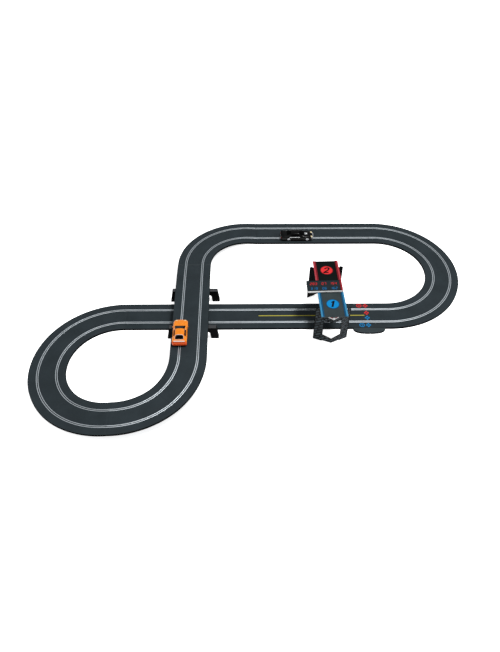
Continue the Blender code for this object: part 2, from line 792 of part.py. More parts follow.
def build_axles(shop, name, car, frame):
    """Front and rear axles, each with a wheel at both ends, on their own axes."""
    half = car["half_width"]
    axes = {}
    for end in ("rear", "front"):
        axis = shop.empty(f"{name}_{end}_axis", (car[f"{end}_axle"], 0, AXLE_HEIGHT), parent=frame)
        reach = half - AXLE_INSET
        bar = cylinder(AXLE_RADIUS, (0, -reach, 0), (0, reach, 0), 12)
        shop.add(f"{name}_{end}_axle", bar, "axle_steel", axis)
        for side, sign, turn in (("left", 1, 0.0), ("right", -1, pi)):
            place = (0, sign * (half - WHEEL_INSET), 0)
            shop.add(f"{name}_{end}_{side}_wheel", wheel_solid(), "tyre", axis, place, turn)
        axes[end] = axis
    return axes


def build_drive(shop, name, car, frame, rear_axis):
    """Spur gear on the rear axle, and the motor with its pinion and shaft."""
    outline = gear_outline(GEAR_TEETH, MOTOR_RAISE)
    width = GEAR_Y[1] - GEAR_Y[0]
    bm = prism([(x, GEAR_Y[0], z) for x, z in outline], (0, width, 0))
    gear = shop.add(f"{name}_spur_gear", bm, "gear_nylon", rear_axis)
    bore = cylinder(BORE_RADIUS, (0, GEAR_Y[0] - GAP, 0), (0, GEAR_Y[1] + GAP, 0), 12)
    boolean(gear, shop.cutter(f"{name}_gear_bore", bore, rear_axis), "DIFFERENCE")

    motor_x, motor_z = motor_centre(car)
    shaft = shop.empty(f"{name}_motor_axis", (motor_x, 0, motor_z), parent=frame)
    can = cylinder(MOTOR_RADIUS, (0, MOTOR_Y[0], 0), (0, MOTOR_Y[1], 0), 20)
    motor = shop.add(f"{name}_motor", can, "motor_can", shaft)
    socket_start, socket_end = (0, MOTOR_Y[1] - SHAFT_SOCKET, 0), (0, MOTOR_Y[1] + GAP, 0)
    nose = cylinder(BEARING_RADIUS, socket_start, socket_end, 12)
    boolean(motor, shop.cutter(f"{name}_motor_bearing", nose, shaft), "DIFFERENCE")

    first_tooth = MOTOR_RAISE + pi + pi / PINION_TEETH
    outline = gear_outline(PINION_TEETH, first_tooth)
    bm = prism([(x, GEAR_Y[0], z) for x, z in outline], (0, width, 0))
    pinion = shop.add(f"{name}_pinion", bm, "pinion_brass", shaft)
    rod_start = (0, MOTOR_Y[1] - SHAFT_SOCKET + SHAFT_GRIP, 0)
    rod = cylinder(AXLE_RADIUS, rod_start, (0, GEAR_Y[1] - SHAFT_GRIP, 0), 12)
    boolean(pinion, shop.cutter(f"{name}_motor_shaft", rod, shaft), "UNION")


def build_guide(shop, name, car, frame):
    """Swivelling guide: a stem through the pan, a flange and a blade in the slot."""
    pivot = shop.empty(f"{name}_guide_pivot", (car["front_axle"] + GUIDE_AHEAD, 0, 0), parent=frame)
    length, thickness, depth = GUIDE_BLADE
    flange_low = PAN_LOW - GAP - FLANGE_THICKNESS
    blade_top = flange_low + GAP
    blade = box((length, thickness, depth + blade_top), (0, 0, (blade_top - depth) / 2))
    guide = shop.add(f"{name}_guide", blade, "guide_nylon", pivot)
    flange = cylinder(FLANGE_RADIUS, (0, 0, flange_low), (0, 0, PAN_LOW - GAP), 16)
    stem = cylinder(STEM_RADIUS, (0, 0, flange_low + GAP), (0, 0, PAN_TOP + STEM_PROUD), 16)
    boolean(guide, shop.cutter(f"{name}_guide_flange", flange, pivot), "UNION")
    boolean(guide, shop.cutter(f"{name}_guide_stem", stem, pivot), "UNION")


def build_cars(shop):
    """Both cars stand on the circuit."""
    for name, car in CARS.items():
        frame = shop.empty(f"{name}_car", car["place"], car["heading"])
        build_body(shop, name, car, frame)
        build_chassis(shop, name, car, frame)
        axes = build_axles(shop, name, car, frame)
        build_drive(shop, name, car, frame, axes["rear"])
        build_guide(shop, name, car, frame)


def main():
    clear_scene()
    shop = Workshop()
    build_circuit(shop)
    build_supports(shop)
    build_housing(shop)
    build_gantry(shop)
    build_cars(shop)
    bpy.context.view_layer.update()


main()
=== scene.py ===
import json
from math import cos, pi, radians, sin

import bmesh
import bpy
from mathutils import Matrix, Vector

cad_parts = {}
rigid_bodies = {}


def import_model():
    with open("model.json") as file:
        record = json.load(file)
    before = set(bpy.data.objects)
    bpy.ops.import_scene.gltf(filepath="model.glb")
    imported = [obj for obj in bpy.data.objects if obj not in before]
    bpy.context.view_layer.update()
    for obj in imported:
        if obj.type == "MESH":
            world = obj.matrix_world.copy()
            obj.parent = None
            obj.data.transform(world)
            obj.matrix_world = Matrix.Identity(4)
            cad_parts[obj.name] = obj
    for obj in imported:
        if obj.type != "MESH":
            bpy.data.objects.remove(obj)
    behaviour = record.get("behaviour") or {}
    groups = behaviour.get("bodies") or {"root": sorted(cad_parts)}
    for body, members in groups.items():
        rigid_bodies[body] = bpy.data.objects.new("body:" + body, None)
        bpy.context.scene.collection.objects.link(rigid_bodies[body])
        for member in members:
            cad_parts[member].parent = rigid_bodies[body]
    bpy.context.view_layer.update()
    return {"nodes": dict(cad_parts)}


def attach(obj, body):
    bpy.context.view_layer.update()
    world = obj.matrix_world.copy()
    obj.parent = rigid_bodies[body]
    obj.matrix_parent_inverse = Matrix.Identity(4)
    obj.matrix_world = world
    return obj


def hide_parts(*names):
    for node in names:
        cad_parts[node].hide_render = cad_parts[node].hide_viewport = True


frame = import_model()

# Camera, in metres and degrees
CAMERA_PLACE = (-0.0749, -2.1701, 2.2178)
CAMERA_PITCH = 46.353
CAMERA_YAW = 1.0435
CAMERA_ROLL = 0.4602
CAMERA_LENS = 37.857

# Studio
FLOOR_HALF = 40.0
SKY_STRENGTH = 0.55
LAMPS = (
    ("key", (1.6, -0.6, 6.0), 1.1, 450.0),
    ("fill", (-1.4, -1.6, 2.4), 1.8, 7.0),
)

# Track, as in the CAD model
TRACK_WIDTH = 0.156
TRACK_HEIGHT = 0.009
LANE_OFFSET = TRACK_WIDTH / 4
SLOT_HALF = 0.0015
SLOT_FLOOR = 0.0022
PLATE_UNDERSIDE = 0.0066
SKIRT = 0.0024
CHANNEL_HALF = 0.0031
CHANNEL_BASE = 0.001
EDGE_CHAMFER = 0.0009
BED_HALF = 0.0054
BED_DEPTH = 0.0003
RAIL_INNER = 0.0019
RAIL_OUTER = 0.0050
RAIL_PROUD = 0.0003
RADIUS = 0.296
LONG = RADIUS * 4 / 3
SHORT = RADIUS * 2 / 3
QUARTER = RADIUS / 3
BRIDGE = 0.065
BRIDGE_X = -RADIUS
EIGHTH_TURN = radians(45)
JOINT_TRIM = 0.00001
JOINT_ROUNDING = 0.0004
CIRCUIT = (
    ("front_short_straight", SHORT, 0, 0.0),
    ("front_crossing_straight", LONG, 0, 0.0),
    ("front_centre_straight", LONG, 0, 0.0),
    ("power_base", SHORT, 0, 0.0),
    ("right_curve_1", 0, 1, 0.0),
    ("right_curve_2", 0, 1, 0.0),
    ("right_curve_3", 0, 1, 0.0),
    ("right_curve_4", 0, 1, 0.0),
    ("back_long_straight", LONG, 0, 0.0),
    ("back_short_straight", SHORT, 0, 0.0),
    ("far_ramp_curve_1", 0, 1, 0.0268),
    ("far_ramp_curve_2", 0, 1, 0.0536),
    ("far_ramp_straight", QUARTER, 0, BRIDGE),
    ("bridge_straight", LONG, 0, BRIDGE),
    ("bridge_end_straight", QUARTER, 0, BRIDGE),
    ("loop_curve_1", 0, -1, 0.047),
    ("loop_curve_2", 0, -1, 0.042),
    ("loop_curve_3", 0, -1, 0.012),
    ("loop_curve_4", 0, -1, 0.0),
    ("loop_curve_5", 0, -1, 0.0),
    ("loop_curve_6", 0, -1, 0.0),
)

# Printing on the track
INK_BASE = TRACK_HEIGHT - 0.0001
INK = 0.00022
CENTRE_LINE_HALF = 0.0023
CENTRE_LINE_ENDS = (0.003, 0.482)
START_LINE_X = 0.493
START_CHECK = (0.0070, 0.0078)
START_BANDS = (0.0040, 0.0495)
LANE_MARK_X = 0.464
LANE_MARK_RING = (0.0120, 0.0086)
LANE_MARK_FIGURE = 0.0115

# Bridge supports and connector housing
SUPPORTS = {"far_support": 0.112, "near_support": -0.119}
SUPPORT_X = BRIDGE_X + 0.010
SUPPORT_TOP = BRIDGE - 0.0003
SUPPORT_DEPTH = 0.020
SUPPORT_RIB = (0.0035, 0.0025)
SUPPORT_RIB_X = 0.0905
HOUSING_X = 0.494
SOCKET_SPACING = 0.026
SOCKET_Y = -TRACK_WIDTH / 2 - 0.0303
SOCKET_HEIGHT = 0.00325

# Gantry, as in the CAD model
GANTRY = Matrix.Translation((0.310, 0.001, 0.0)) @ Matrix.Rotation(radians(1.7), 4, "Z")
WALL_HALF = 0.0748
WALL_CORNER_Y = 0.130
WALL_APEX_Y = 0.164
WALL_THICKNESS = 0.004
WINDOW_HALF = 0.038
DECK_LOW = 0.176
DECK_TOP = 0.1795
RAIL_TOP = 0.1813
DECK_HALF = 0.0565
DECK_RAIL = 0.0145
DECK_REACH = 0.176
BOARD_LOW = 0.1816
BOARD_HEIGHT = 0.0075
BOARD_HALF = (0.077, 0.035)
BOARD_CENTRE = (-0.023, 0.003)

# Finer parts of the gantry
DECK_GAP = 0.00015
DISC_FACE = 0.0255
DISC_RING = (0.0285, 0.0259)
DISC_FIGURE = 0.036
WALL_BORDER = 0.0024
CHEVRON_LOW = 0.147
CHEVRON_RISE = 0.009
BOARD_BEZEL = 0.0035
FIGURE_SIZE = 0.0066
FIGURE_PITCH = 0.0112
FIGURE_ROW = 0.0150
FIGURE_STARTS = (0.0188, 0.0698, 0.1048)

# Cars, as in the CAD model
WHEEL_RADIUS = 0.0106
AXLE_HEIGHT = 0.0109
WHEEL_INSET = 0.0068
WHEEL_HALF = 0.0048
GUIDE_AHEAD = 0.013
CARS = {
    "orange": {
        "place": (BRIDGE_X - LANE_OFFSET, -0.1755, BRIDGE + TRACK_HEIGHT),
        "heading": pi / 2,
        "half": 0.0310,
        "tail": -0.0715,
        "deck_edge": -0.0640,
        "rear_glass": -0.0555,
        "roof_rear": -0.0365,
        "roof_front": -0.0015,
        "cowl": 0.0235,
        "nose": 0.0715,
        "axles": (-0.0410, 0.0450),
    },
    "black": {
        "place": (0.208, 2 * RADIUS - LANE_OFFSET, TRACK_HEIGHT),
        "heading": 0.0,
        "half": 0.0290,
        "tail": -0.0815,
        "deck_edge": -0.0755,
        "rear_glass": -0.0520,
        "roof_rear": -0.0310,
        "roof_front": 0.0110,
        "cowl": 0.0330,
        "nose": 0.0815,
        "axles": (-0.0420, 0.0510),
    },
}

# Finer parts of the cars
ARCH_RADIUS = 0.0124
SHELL_THICKNESS = 0.0010
SHELL_SIDE = {"orange": 1, "black": -1}


# ---- finishes

# Share of its own brightness that a colour is painted at, to come out right under the lights
PAINT_LEVEL = 0.62

COAT_ROUGHNESS = 0.05
FLOOR_GLOW = 0.75
WEAVE_ANGLE = radians(38)
WEAVE_DASH = 0.0300
WEAVE_ROW = 0.0125
WEAVE_GAP = 0.0040


def srgb(red, green, blue):
    """The paint that shows as a display colour of 0 to 255 under the studio light."""
    def channel(value):
        value /= 255
        linear = value / 12.92 if value <= 0.04045 else ((value + 0.055) / 1.055) ** 2.4
        return linear * PAINT_LEVEL
    return (channel(red), channel(green), channel(blue))


def set_inputs(node, values):
    """Set a node's unlinked inputs by name."""
    for name, value in values.items():
        node.inputs[name].default_value = value


class Finish:
    """One procedural material, in the row frame's metres."""

    def __init__(self, name, roughness, metallic=0.0, specular=0.5, coat=0.0):
        self.material = bpy.data.materials.new(name)
        self.material.use_nodes = True
        self.tree = self.material.node_tree
        self.shader = self.tree.nodes["Principled BSDF"]
        set_inputs(self.shader, {
            "Roughness": roughness, "Metallic": metallic, "Specular IOR Level": specular,
            "Coat Weight": coat, "Coat Roughness": COAT_ROUGHNESS,
        })
        self.space = self.node("ShaderNodeTexCoord").outputs["Object"]
        self.normal = None

    def node(self, kind):
        return self.tree.nodes.new(kind)

    def link(self, output, target):
        self.tree.links.new(output, target)

    def mapped(self, stretch=(1, 1, 1)):
        mapping = self.node("ShaderNodeMapping")
        mapping.inputs["Scale"].default_value = stretch
        self.link(self.space, mapping.inputs["Vector"])
        return mapping.outputs["Vector"]

    def noise(self, scale, detail=3.0, stretch=(1, 1, 1)):
        texture = self.node("ShaderNodeTexNoise")
        set_inputs(texture, {"Scale": scale, "Detail": detail})
        self.link(self.mapped(stretch), texture.inputs["Vector"])
        return texture.outputs["Fac"]

    def weave(self):
        """Staggered diagonal dashes across the upright faces."""
        split = self.node("ShaderNodeSeparateXYZ")
        self.link(self.space, split.inputs[0])
        flat = self.node("ShaderNodeCombineXYZ")
        self.link(split.outputs["X"], flat.inputs["X"])
        self.link(split.outputs["Z"], flat.inputs["Y"])
        turned = self.node("ShaderNodeMapping")
        turned.inputs["Rotation"].default_value = (0, 0, -WEAVE_ANGLE)
        self.link(flat.outputs[0], turned.inputs["Vector"])
        bricks = self.node("ShaderNodeTexBrick")
        set_inputs(bricks, {
            "Scale": 1.0, "Brick Width": WEAVE_DASH, "Row Height": WEAVE_ROW, "Mortar Size": WEAVE_GAP,
            "Mortar Smooth": 0.6, "Mortar": (0, 0, 0, 1),
            "Color1": (1, 1, 1, 1), "Color2": (0.45, 0.45, 0.45, 1),
        })
        self.link(turned.outputs["Vector"], bricks.inputs["Vector"])
        return bricks.outputs["Color"]

    def tint(self, low, high, factor, start=0.35, end=0.65):
        ramp = self.node("ShaderNodeValToRGB")
        for element, place, colour in zip(ramp.color_ramp.elements, (start, end), (low, high)):
            element.position = place
            element.color = (*colour, 1.0)
        self.link(factor, ramp.inputs["Fac"])
        self.link(ramp.outputs["Color"], self.shader.inputs["Base Color"])

    def mottle(self, colour, low, high, factor):
        """Vary one colour between two shades of itself."""
        self.tint(shade(colour, low), shade(colour, high), factor)

    def rough(self, low, high, factor):
        spread = self.node("ShaderNodeMapRange")
        set_inputs(spread, {"From Min": 0.3, "From Max": 0.7, "To Min": low, "To Max": high})
        self.link(factor, spread.inputs["Value"])
        self.link(spread.outputs["Result"], self.shader.inputs["Roughness"])

    def bump(self, height, distance, strength=1.0):
        bump = self.node("ShaderNodeBump")
        set_inputs(bump, {"Distance": distance, "Strength": strength})
        self.link(height, bump.inputs["Height"])
        if self.normal:
            self.link(self.normal, bump.inputs["Normal"])
        self.normal = bump.outputs["Normal"]
        self.link(self.normal, self.shader.inputs["Normal"])


def shade(colour, factor):
    """A colour made lighter or darker."""
    return tuple(min(1.0, channel * factor) for channel in colour)


def moulded(name, colour, roughness, specular=0.5, spread=0.12, grain=1100.0, depth=0.00006):
    """Moulded plastic: patchy tone, uneven sheen and a fine spark-eroded grain."""
    finish = Finish(name, roughness, specular=specular)
    finish.mottle(colour, 1 - spread, 1 + spread, finish.noise(14.0, 5.0))
    finish.rough(roughness - 0.07, roughness + 0.09, finish.noise(70.0))
    finish.bump(finish.noise(grain, 2.0), depth)
    return finish.material


def painted(name, colour, roughness=0.25, coat=0.4, spread=0.05, specular=0.4):
    """Sprayed gloss paint with a faint orange peel under its lacquer."""
    finish = Finish(name, roughness, specular=specular, coat=coat)
    finish.mottle(colour, 1 - spread, 1 + spread, finish.noise(90.0))
    finish.rough(roughness - 0.05, roughness + 0.08, finish.noise(300.0))
    finish.bump(finish.noise(700.0, 1.0), 0.00004, 0.5)
    return finish.material


def metal(name, colour, roughness, stretch=(1, 1, 1), grain=500.0, tarnish=0.16):
    """Bare metal with drawing marks and light tarnish."""
    finish = Finish(name, roughness, metallic=1.0)
    finish.mottle(colour, 1 - tarnish, 1 + tarnish / 2, finish.noise(160.0, 4.0))
    finish.rough(roughness - tarnish / 2, roughness + tarnish / 2, finish.noise(grain, 2.0, stretch))
    finish.bump(finish.noise(grain, 2.0, stretch), 0.00003)
    return finish.material


def printed(name, colour, roughness=0.45, glow=0.0):
    """Screen-printed ink, slightly uneven, over moulded plastic; a glow, if given, is painted light.
    """
    finish = Finish(name, roughness, specular=0.05)
    finish.mottle(colour, 0.90, 1.06, finish.noise(220.0, 4.0))
    finish.rough(roughness - 0.05, roughness + 0.10, finish.noise(400.0))
    finish.bump(finish.noise(1300.0, 1.0), 0.00003)
    if glow:
        set_inputs(finish.shader, {"Emission Color": (*colour, 1.0), "Emission Strength": glow})
    return finish.material


def make_weave():
    """Printed diagonal weave of the gantry's walls."""
    finish = Finish("weave", 0.42, specular=0.04)
    dashes = finish.weave()
    finish.tint(srgb(3, 4, 5), srgb(64, 73, 78), dashes, 0.0, 1.0)
    finish.rough(0.36, 0.52, finish.noise(200.0))
    finish.bump(dashes, 0.00012)
    finish.bump(finish.noise(1200.0, 2.0), 0.00004)
    return finish.material


def make_rubber():
    """Tyre rubber, dull with a fine turned grain."""
    finish = Finish("rubber", 0.85, specular=0.12)
    finish.tint(srgb(12, 12, 13), srgb(24, 24, 25), finish.noise(240.0))
    finish.rough(0.72, 0.95, finish.noise(500.0))
    finish.bump(finish.noise(1600.0, 3.0), 0.00010)
    return finish.material


def make_glass(name, colour):
    """Smoked window moulding, opaque and very glossy."""
    finish = Finish(name, 0.12, specular=0.01)
    finish.mottle(colour, 0.7, 1.3, finish.noise(60.0))
    finish.rough(0.04, 0.12, finish.noise(150.0))
    finish.bump(finish.noise(90.0, 1.0), 0.00003, 0.4)
    return finish.material


def make_floor():
    """Matt white studio floor."""
    finish = Finish("studio_floor", 0.9, specular=0.2)
    finish.tint((0.93, 0.93, 0.93), (0.95, 0.95, 0.95), finish.noise(3.0))
    set_inputs(finish.shader, {"Emission Color": (1, 1, 1, 1), "Emission Strength": FLOOR_GLOW})
    finish.bump(finish.noise(300.0, 2.0), 0.00005)
    return finish.material


FINISHES = {
    "track": moulded("track_plastic_fine", srgb(43, 51, 55), 0.62, specular=0.08, spread=0.10),
    # Near-black for the edge chamfers: painted shade along the track's edges.
    "track_chamfer_shade": moulded("track_chamfer_painted_shade", srgb(14, 17, 19), 0.62, specular=0.04, spread=0.14),
    # Near-black for the side walls: painted shade, as the sides fall in shade.
    "track_side_shade": moulded("track_side_painted_shade", srgb(4, 4, 5), 0.75, specular=0.01),
    "rail": metal("rail_steel", (0.49, 0.53, 0.56), 0.50, grain=900.0, tarnish=0.05),
    "support": moulded("support_black", srgb(4, 4, 5), 0.60, specular=0.02),
    # Grey top face of the black supports: painted light, the top face catching the light.
    "support_lit_top": moulded("support_painted_lit_top", srgb(66, 67, 69), 0.60, specular=0.10),
    "housing": moulded("housing_grey", srgb(56, 65, 68), 0.58, specular=0.08),
    "weave": make_weave(),
    "frame_black": moulded("gantry_black", srgb(5, 6, 7), 0.55, specular=0.03),
    "deck_near": moulded("deck_charcoal", srgb(56, 65, 67), 0.58, specular=0.05),
    "deck_far": moulded("deck_black", srgb(15, 20, 19), 0.60, specular=0.03),
    "blue": printed("blue_ink", srgb(14, 134, 200)),
    # Pale blue ink: a painted highlight on the outer strips of the near deck's rails.
    "blue_highlight": printed("blue_ink_painted_highlight", srgb(62, 136, 178)),
    "blue_deep": printed("blue_ink_deep", srgb(14, 78, 118)),
    "red": printed("red_ink", srgb(228, 52, 54)),
    # Pale red ink: a painted highlight on the outer strips of the far deck's rails and on the
    # display's end strip.
    "red_highlight": printed("red_ink_painted_highlight", srgb(176, 62, 70)),
    "red_deep": printed("red_ink_deep", srgb(120, 24, 34)),
    "yellow": printed("yellow_ink", srgb(188, 178, 66)),
    "white": printed("white_ink", srgb(236, 236, 236)),
    "digit": printed("black_ink", srgb(12, 13, 15)),
    "screen": moulded("display_screen", srgb(34, 42, 46), 0.40, specular=0.05, depth=0.00002),
    # The display's printed figures glow faintly: painted light, as the figures are print and no lamp.
    "glow_red": printed("display_red_painted_glow", srgb(205, 42, 44), glow=0.10),
    "glow_blue": printed("display_blue_painted_glow", srgb(24, 104, 160), glow=0.10),
    "orange": painted("orange_gloss", srgb(246, 138, 24), coat=0.25, specular=0.2),
    # Darker, redder copy of the orange paint: painted shade on the tail panel and bumpers, which fall
    # in shade.
    "orange_shaded": painted("orange_gloss_painted_shade", srgb(232, 88, 34), coat=0.2, specular=0.1),
    "black": painted("black_gloss", srgb(5, 5, 6), 0.20, 0.03, specular=0.08),
    "glass": make_glass("smoked_glass", srgb(4, 4, 5)),
    "glass_brown": make_glass("brown_glass", srgb(64, 26, 16)),
    "chrome": metal("plated_trim", (0.78, 0.79, 0.80), 0.16),
    "lamp": printed("lamp_cream", srgb(240, 222, 176), 0.20),
    "lamp_red": printed("lamp_red", srgb(176, 26, 20), 0.18),
    # Pale pinkish white: painted highlight, the glare on the orange car's rear window frame and
    # spoiler lip.
    "pale_highlight_trim": printed("pale_highlight_trim", srgb(226, 208, 202), 0.35),
    "rubber": make_rubber(),
    "rim": metal("wheel_silver", (0.46, 0.47, 0.49), 0.30),
    "chassis": moulded("chassis_black", srgb(10, 10, 11), 0.60, specular=0.06),
    "steel": metal("axle_steel_drawn", (0.60, 0.60, 0.62), 0.25),
    "nylon": moulded("gear_natural_nylon", srgb(236, 228, 196), 0.45, specular=0.3),
    "brass": metal("pinion_brass_cut", (0.72, 0.50, 0.20), 0.30),
    "can": metal("motor_can_plated", (0.58, 0.59, 0.61), 0.30, (1, 1, 6)),
    "copper": metal("copper_braid", (0.72, 0.38, 0.22), 0.45, (6, 1, 1), 1500.0),
    "board": printed("solder_mask", srgb(22, 104, 56), 0.35),
    "cover": moulded("cover_black", srgb(12, 13, 15), 0.60, specular=0.06),
}


# ---- mesh helpers

def piece(name, bm, finishes, slot, replaced=(), body="track", matrix=None, rounding=None,
          sharp=32.0):
    """Store a bmesh as a piece that rides on a body."""
    if matrix is not None:
        bm.transform(matrix)
    bm.normal_update()
    bmesh.ops.recalc_face_normals(bm, faces=bm.faces)
    mesh = bpy.data.meshes.new(name)
    bm.to_mesh(mesh)
    bm.free()
    for finish in finishes:
        mesh.materials.append(FINISHES[finish])
    mesh.polygons.foreach_set("use_smooth", [True] * len(mesh.polygons))
    mesh.set_sharp_from_angle(angle=radians(sharp))
    thing = bpy.data.objects.new(name, mesh)
    bpy.context.scene.collection.objects.link(thing)
    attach(thing, body)
    if replaced:
        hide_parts(*replaced)
    if rounding:
        soften(thing, *rounding)
    return thing


def extruded(bm, outline, offset, index=0):
    """Add an outline of points swept along a vector, as a closed solid."""
    low = [bm.verts.new(point) for point in outline]
    high = [bm.verts.new(Vector(point) + Vector(offset)) for point in outline]
    faces = [bm.faces.new(low), bm.faces.new(high)]
    count = len(outline)
    for at in range(count):
        after = (at + 1) % count
        faces.append(bm.faces.new((low[at], low[after], high[after], high[at])))
    for face in faces:
        face.material_index = index
    return faces


def block(bm, low, high, index=0):
    """Add a box between two corners."""
    x0, y0, z0 = low
    x1, y1, z1 = high
    outline = [(x0, y0, z0), (x1, y0, z0), (x1, y1, z0), (x0, y1, z0)]
    return extruded(bm, outline, (0, 0, z1 - z0), index)


def lathe(bm, profile, segments, index=0, matrix=Matrix.Identity(4)):
    """Add a closed profile of (radius, along Y) turned about the Y axis."""
    rings = []
    for at in range(segments):
        angle = 2 * pi * at / segments
        ring = [matrix @ Vector((r * cos(angle), y, r * sin(angle))) for r, y in profile]
        rings.append([bm.verts.new(point) for point in ring])
    count = len(profile)
    for ring, after in zip(rings, rings[1:] + rings[:1]):
        for at in range(count):
            following = (at + 1) % count
            face = bm.faces.new((ring[at], ring[following], after[following], after[at]))
            face.material_index = index


def dome(bm, centre, size, index=0):
    """Add a smooth ellipsoid."""
    matrix = Matrix.Translation(centre) @ Matrix.Diagonal((*size, 1))
    made = bmesh.ops.create_uvsphere(bm, u_segments=20, v_segments=12, radius=1, matrix=matrix)
    for face in {face for vert in made["verts"] for face in vert.link_faces}:
        face.material_index = index


def soften(thing, width, segments):
    """Round a piece's sharp edges."""
    bevel = thing.modifiers.new("rounding", "BEVEL")
    bevel.width = width
    bevel.segments = segments
    bevel.limit_method = "ANGLE"
    bevel.angle_limit = radians(30)
    bevel.harden_normals = True


def disc(centre, radius, count=48):
    """Points round a flat circle."""
    x, y, z = centre
    turns = [2 * pi * at / count for at in range(count)]
    return [(x + radius * cos(turn), y + radius * sin(turn), z) for turn in turns]


def flat_ring(bm, centre, radii, thickness, index=0):
    """Add a flat ring between two radii."""
    outer, inner = (disc(centre, radius) for radius in radii)
    for at in range(len(outer)):
        after = (at + 1) % len(outer)
        extruded(bm, [outer[at], outer[after], inner[after], inner[at]], (0, 0, thickness), index)


def ribbon(path, width):
    """Quads of a flat stroke along a path of (x, y) points."""
    sides = []
    for at, (x, y) in enumerate(path):
        before = Vector(path[max(at - 1, 0)])
        after = Vector(path[min(at + 1, len(path) - 1)])
        along = (after - before).normalized()
        across = Vector((-along.y, along.x)) * width / 2
        sides.append((Vector((x, y)) + across, Vector((x, y)) - across))
    return [(a[0], a[1], b[1], b[0]) for a, b in zip(sides, sides[1:])]


def numeral(figure):
    """Strokes of a bold figure 1 or 2, a unit high, as lists of (x, y) quads."""
    if figure == 1:
        return ribbon([(0.03, 0.0), (0.03, 1.0)], 0.24) + ribbon([(0.02, 0.93), (-0.22, 0.74)], 0.17)
    bow = [(-0.27, 0.70), (-0.22, 0.86), (-0.06, 0.93), (0.12, 0.92), (0.24, 0.80), (0.22, 0.63)]
    bow += [(0.10, 0.46), (-0.10, 0.27), (-0.28, 0.06)]
    return ribbon(bow, 0.19) + ribbon([(-0.33, 0.095), (0.31, 0.095)], 0.19)


def add_numeral(bm, figure, centre, height, thickness, slant=0.22, index=0, turn=0.0):
    """Add a figure as a thin raised shape."""
    x, y, z = centre
    spin = Matrix.Rotation(turn, 2)
    for quad in numeral(figure):
        outline = []
        for point in quad:
            lean = spin @ Vector((point.x + slant * (point.y - 0.5), point.y - 0.5)) * height
            outline.append((x + lean.x, y + lean.y, z))
        extruded(bm, outline, (0, 0, thickness), index)


# ---- track

def circuit_places():
    """Name, start (x, y, heading, height), length, turn and rise of every piece."""
    x, y, heading, height = -2 * RADIUS, 0.0, 0.0, 0.0
    for name, length, turn, end_height in CIRCUIT:
        yield name, (x, y, heading, height), length, turn, end_height - height
        chord = 2 * RADIUS * sin(EIGHTH_TURN / 2) if turn else length
        bearing = heading + turn * EIGHTH_TURN / 2
        x += chord * cos(bearing)
        y += chord * sin(bearing)
        heading += turn * EIGHTH_TURN
        height = end_height


def path_frame(start, length, turn, rise, share):
    """Point and heading at a share of a piece's run."""
    x, y, heading, height = start
    if turn:
        swept = EIGHTH_TURN * share
        radial = heading - turn * pi / 2
        centre = Vector((x - RADIUS * cos(radial), y - RADIUS * sin(radial)))
        angle = radial + turn * swept
        at = centre + Vector((cos(angle), sin(angle))) * RADIUS
        return at.x, at.y, heading + turn * swept, height + rise * share
    run = length * share
    return x + run * cos(heading), y + run * sin(heading), heading, height + rise * share


def sweep(bm, outline, place, indices=None, ends=True, rounding=0.0):
    """Add a section of (across, up) points swept along a track piece."""
    _, start, length, turn, rise = place
    run = RADIUS * EIGHTH_TURN if turn else length
    steps = 24 if turn else 4
    first = JOINT_TRIM / run
    second = first + JOINT_ROUNDING / run
    shares = [first, second]
    shares += [second + (1 - 2 * second) * at / steps for at in range(1, steps)]
    shares += [1 - second, 1 - first]
    rings = []
    for number, share in enumerate(shares):
        x, y, heading, height = path_frame(start, length, turn, rise, share)
        drop = rounding if number in (0, len(shares) - 1) else 0.0
        ring = []
        for across, up in outline:
            if up > TRACK_HEIGHT - 0.0004:
                up -= drop
            point = (x - across * sin(heading), y + across * cos(heading), height + up)
            ring.append(bm.verts.new(point))
        rings.append(ring)
    count = len(outline)
    for ring, after in zip(rings, rings[1:]):
        for at in range(count):
            following = (at + 1) % count
            face = bm.faces.new((ring[at], ring[following], after[following], after[at]))
            face.material_index = indices[at] if indices else 0
    if ends:
        bm.faces.new(rings[0])
        bm.faces.new(rings[-1])


def track_section():
    """Outline of a track piece and the finish of each of its sides."""
    edge = TRACK_WIDTH / 2
    inner = edge - SKIRT
    top = TRACK_HEIGHT
    bed = top - BED_DEPTH
    points = [(inner, 0.0), (inner, PLATE_UNDERSIDE)]
    for lane in (LANE_OFFSET, -LANE_OFFSET):
        points += [(lane + CHANNEL_HALF, PLATE_UNDERSIDE), (lane + CHANNEL_HALF, CHANNEL_BASE)]
        points += [(lane - CHANNEL_HALF, CHANNEL_BASE), (lane - CHANNEL_HALF, PLATE_UNDERSIDE)]
    points += [(-inner, PLATE_UNDERSIDE), (-inner, 0.0), (-edge, 0.0)]
    # The two side walls take the near-black finish: painted shade on the sides.
    sides = {len(points) - 1}
    # The two edge chamfers take the near-black finish: painted shade along the track's edges.
    shaded_chamfers = {len(points)}
    points += [(-edge, top - EDGE_CHAMFER), (-edge + EDGE_CHAMFER, top)]
    for lane in (-LANE_OFFSET, LANE_OFFSET):
        points += [(lane - BED_HALF, top), (lane - BED_HALF, bed), (lane - SLOT_HALF, bed)]
        points += [(lane - SLOT_HALF, SLOT_FLOOR), (lane + SLOT_HALF, SLOT_FLOOR)]
        points += [(lane + SLOT_HALF, bed), (lane + BED_HALF, bed), (lane + BED_HALF, top)]
    shaded_chamfers.add(len(points))
    points += [(edge - EDGE_CHAMFER, top), (edge, top - EDGE_CHAMFER), (edge, 0.0)]
    sides.add(len(points) - 2)
    return points, [1 if at in shaded_chamfers else 2 if at in sides else 0 for at in range(len(points))]


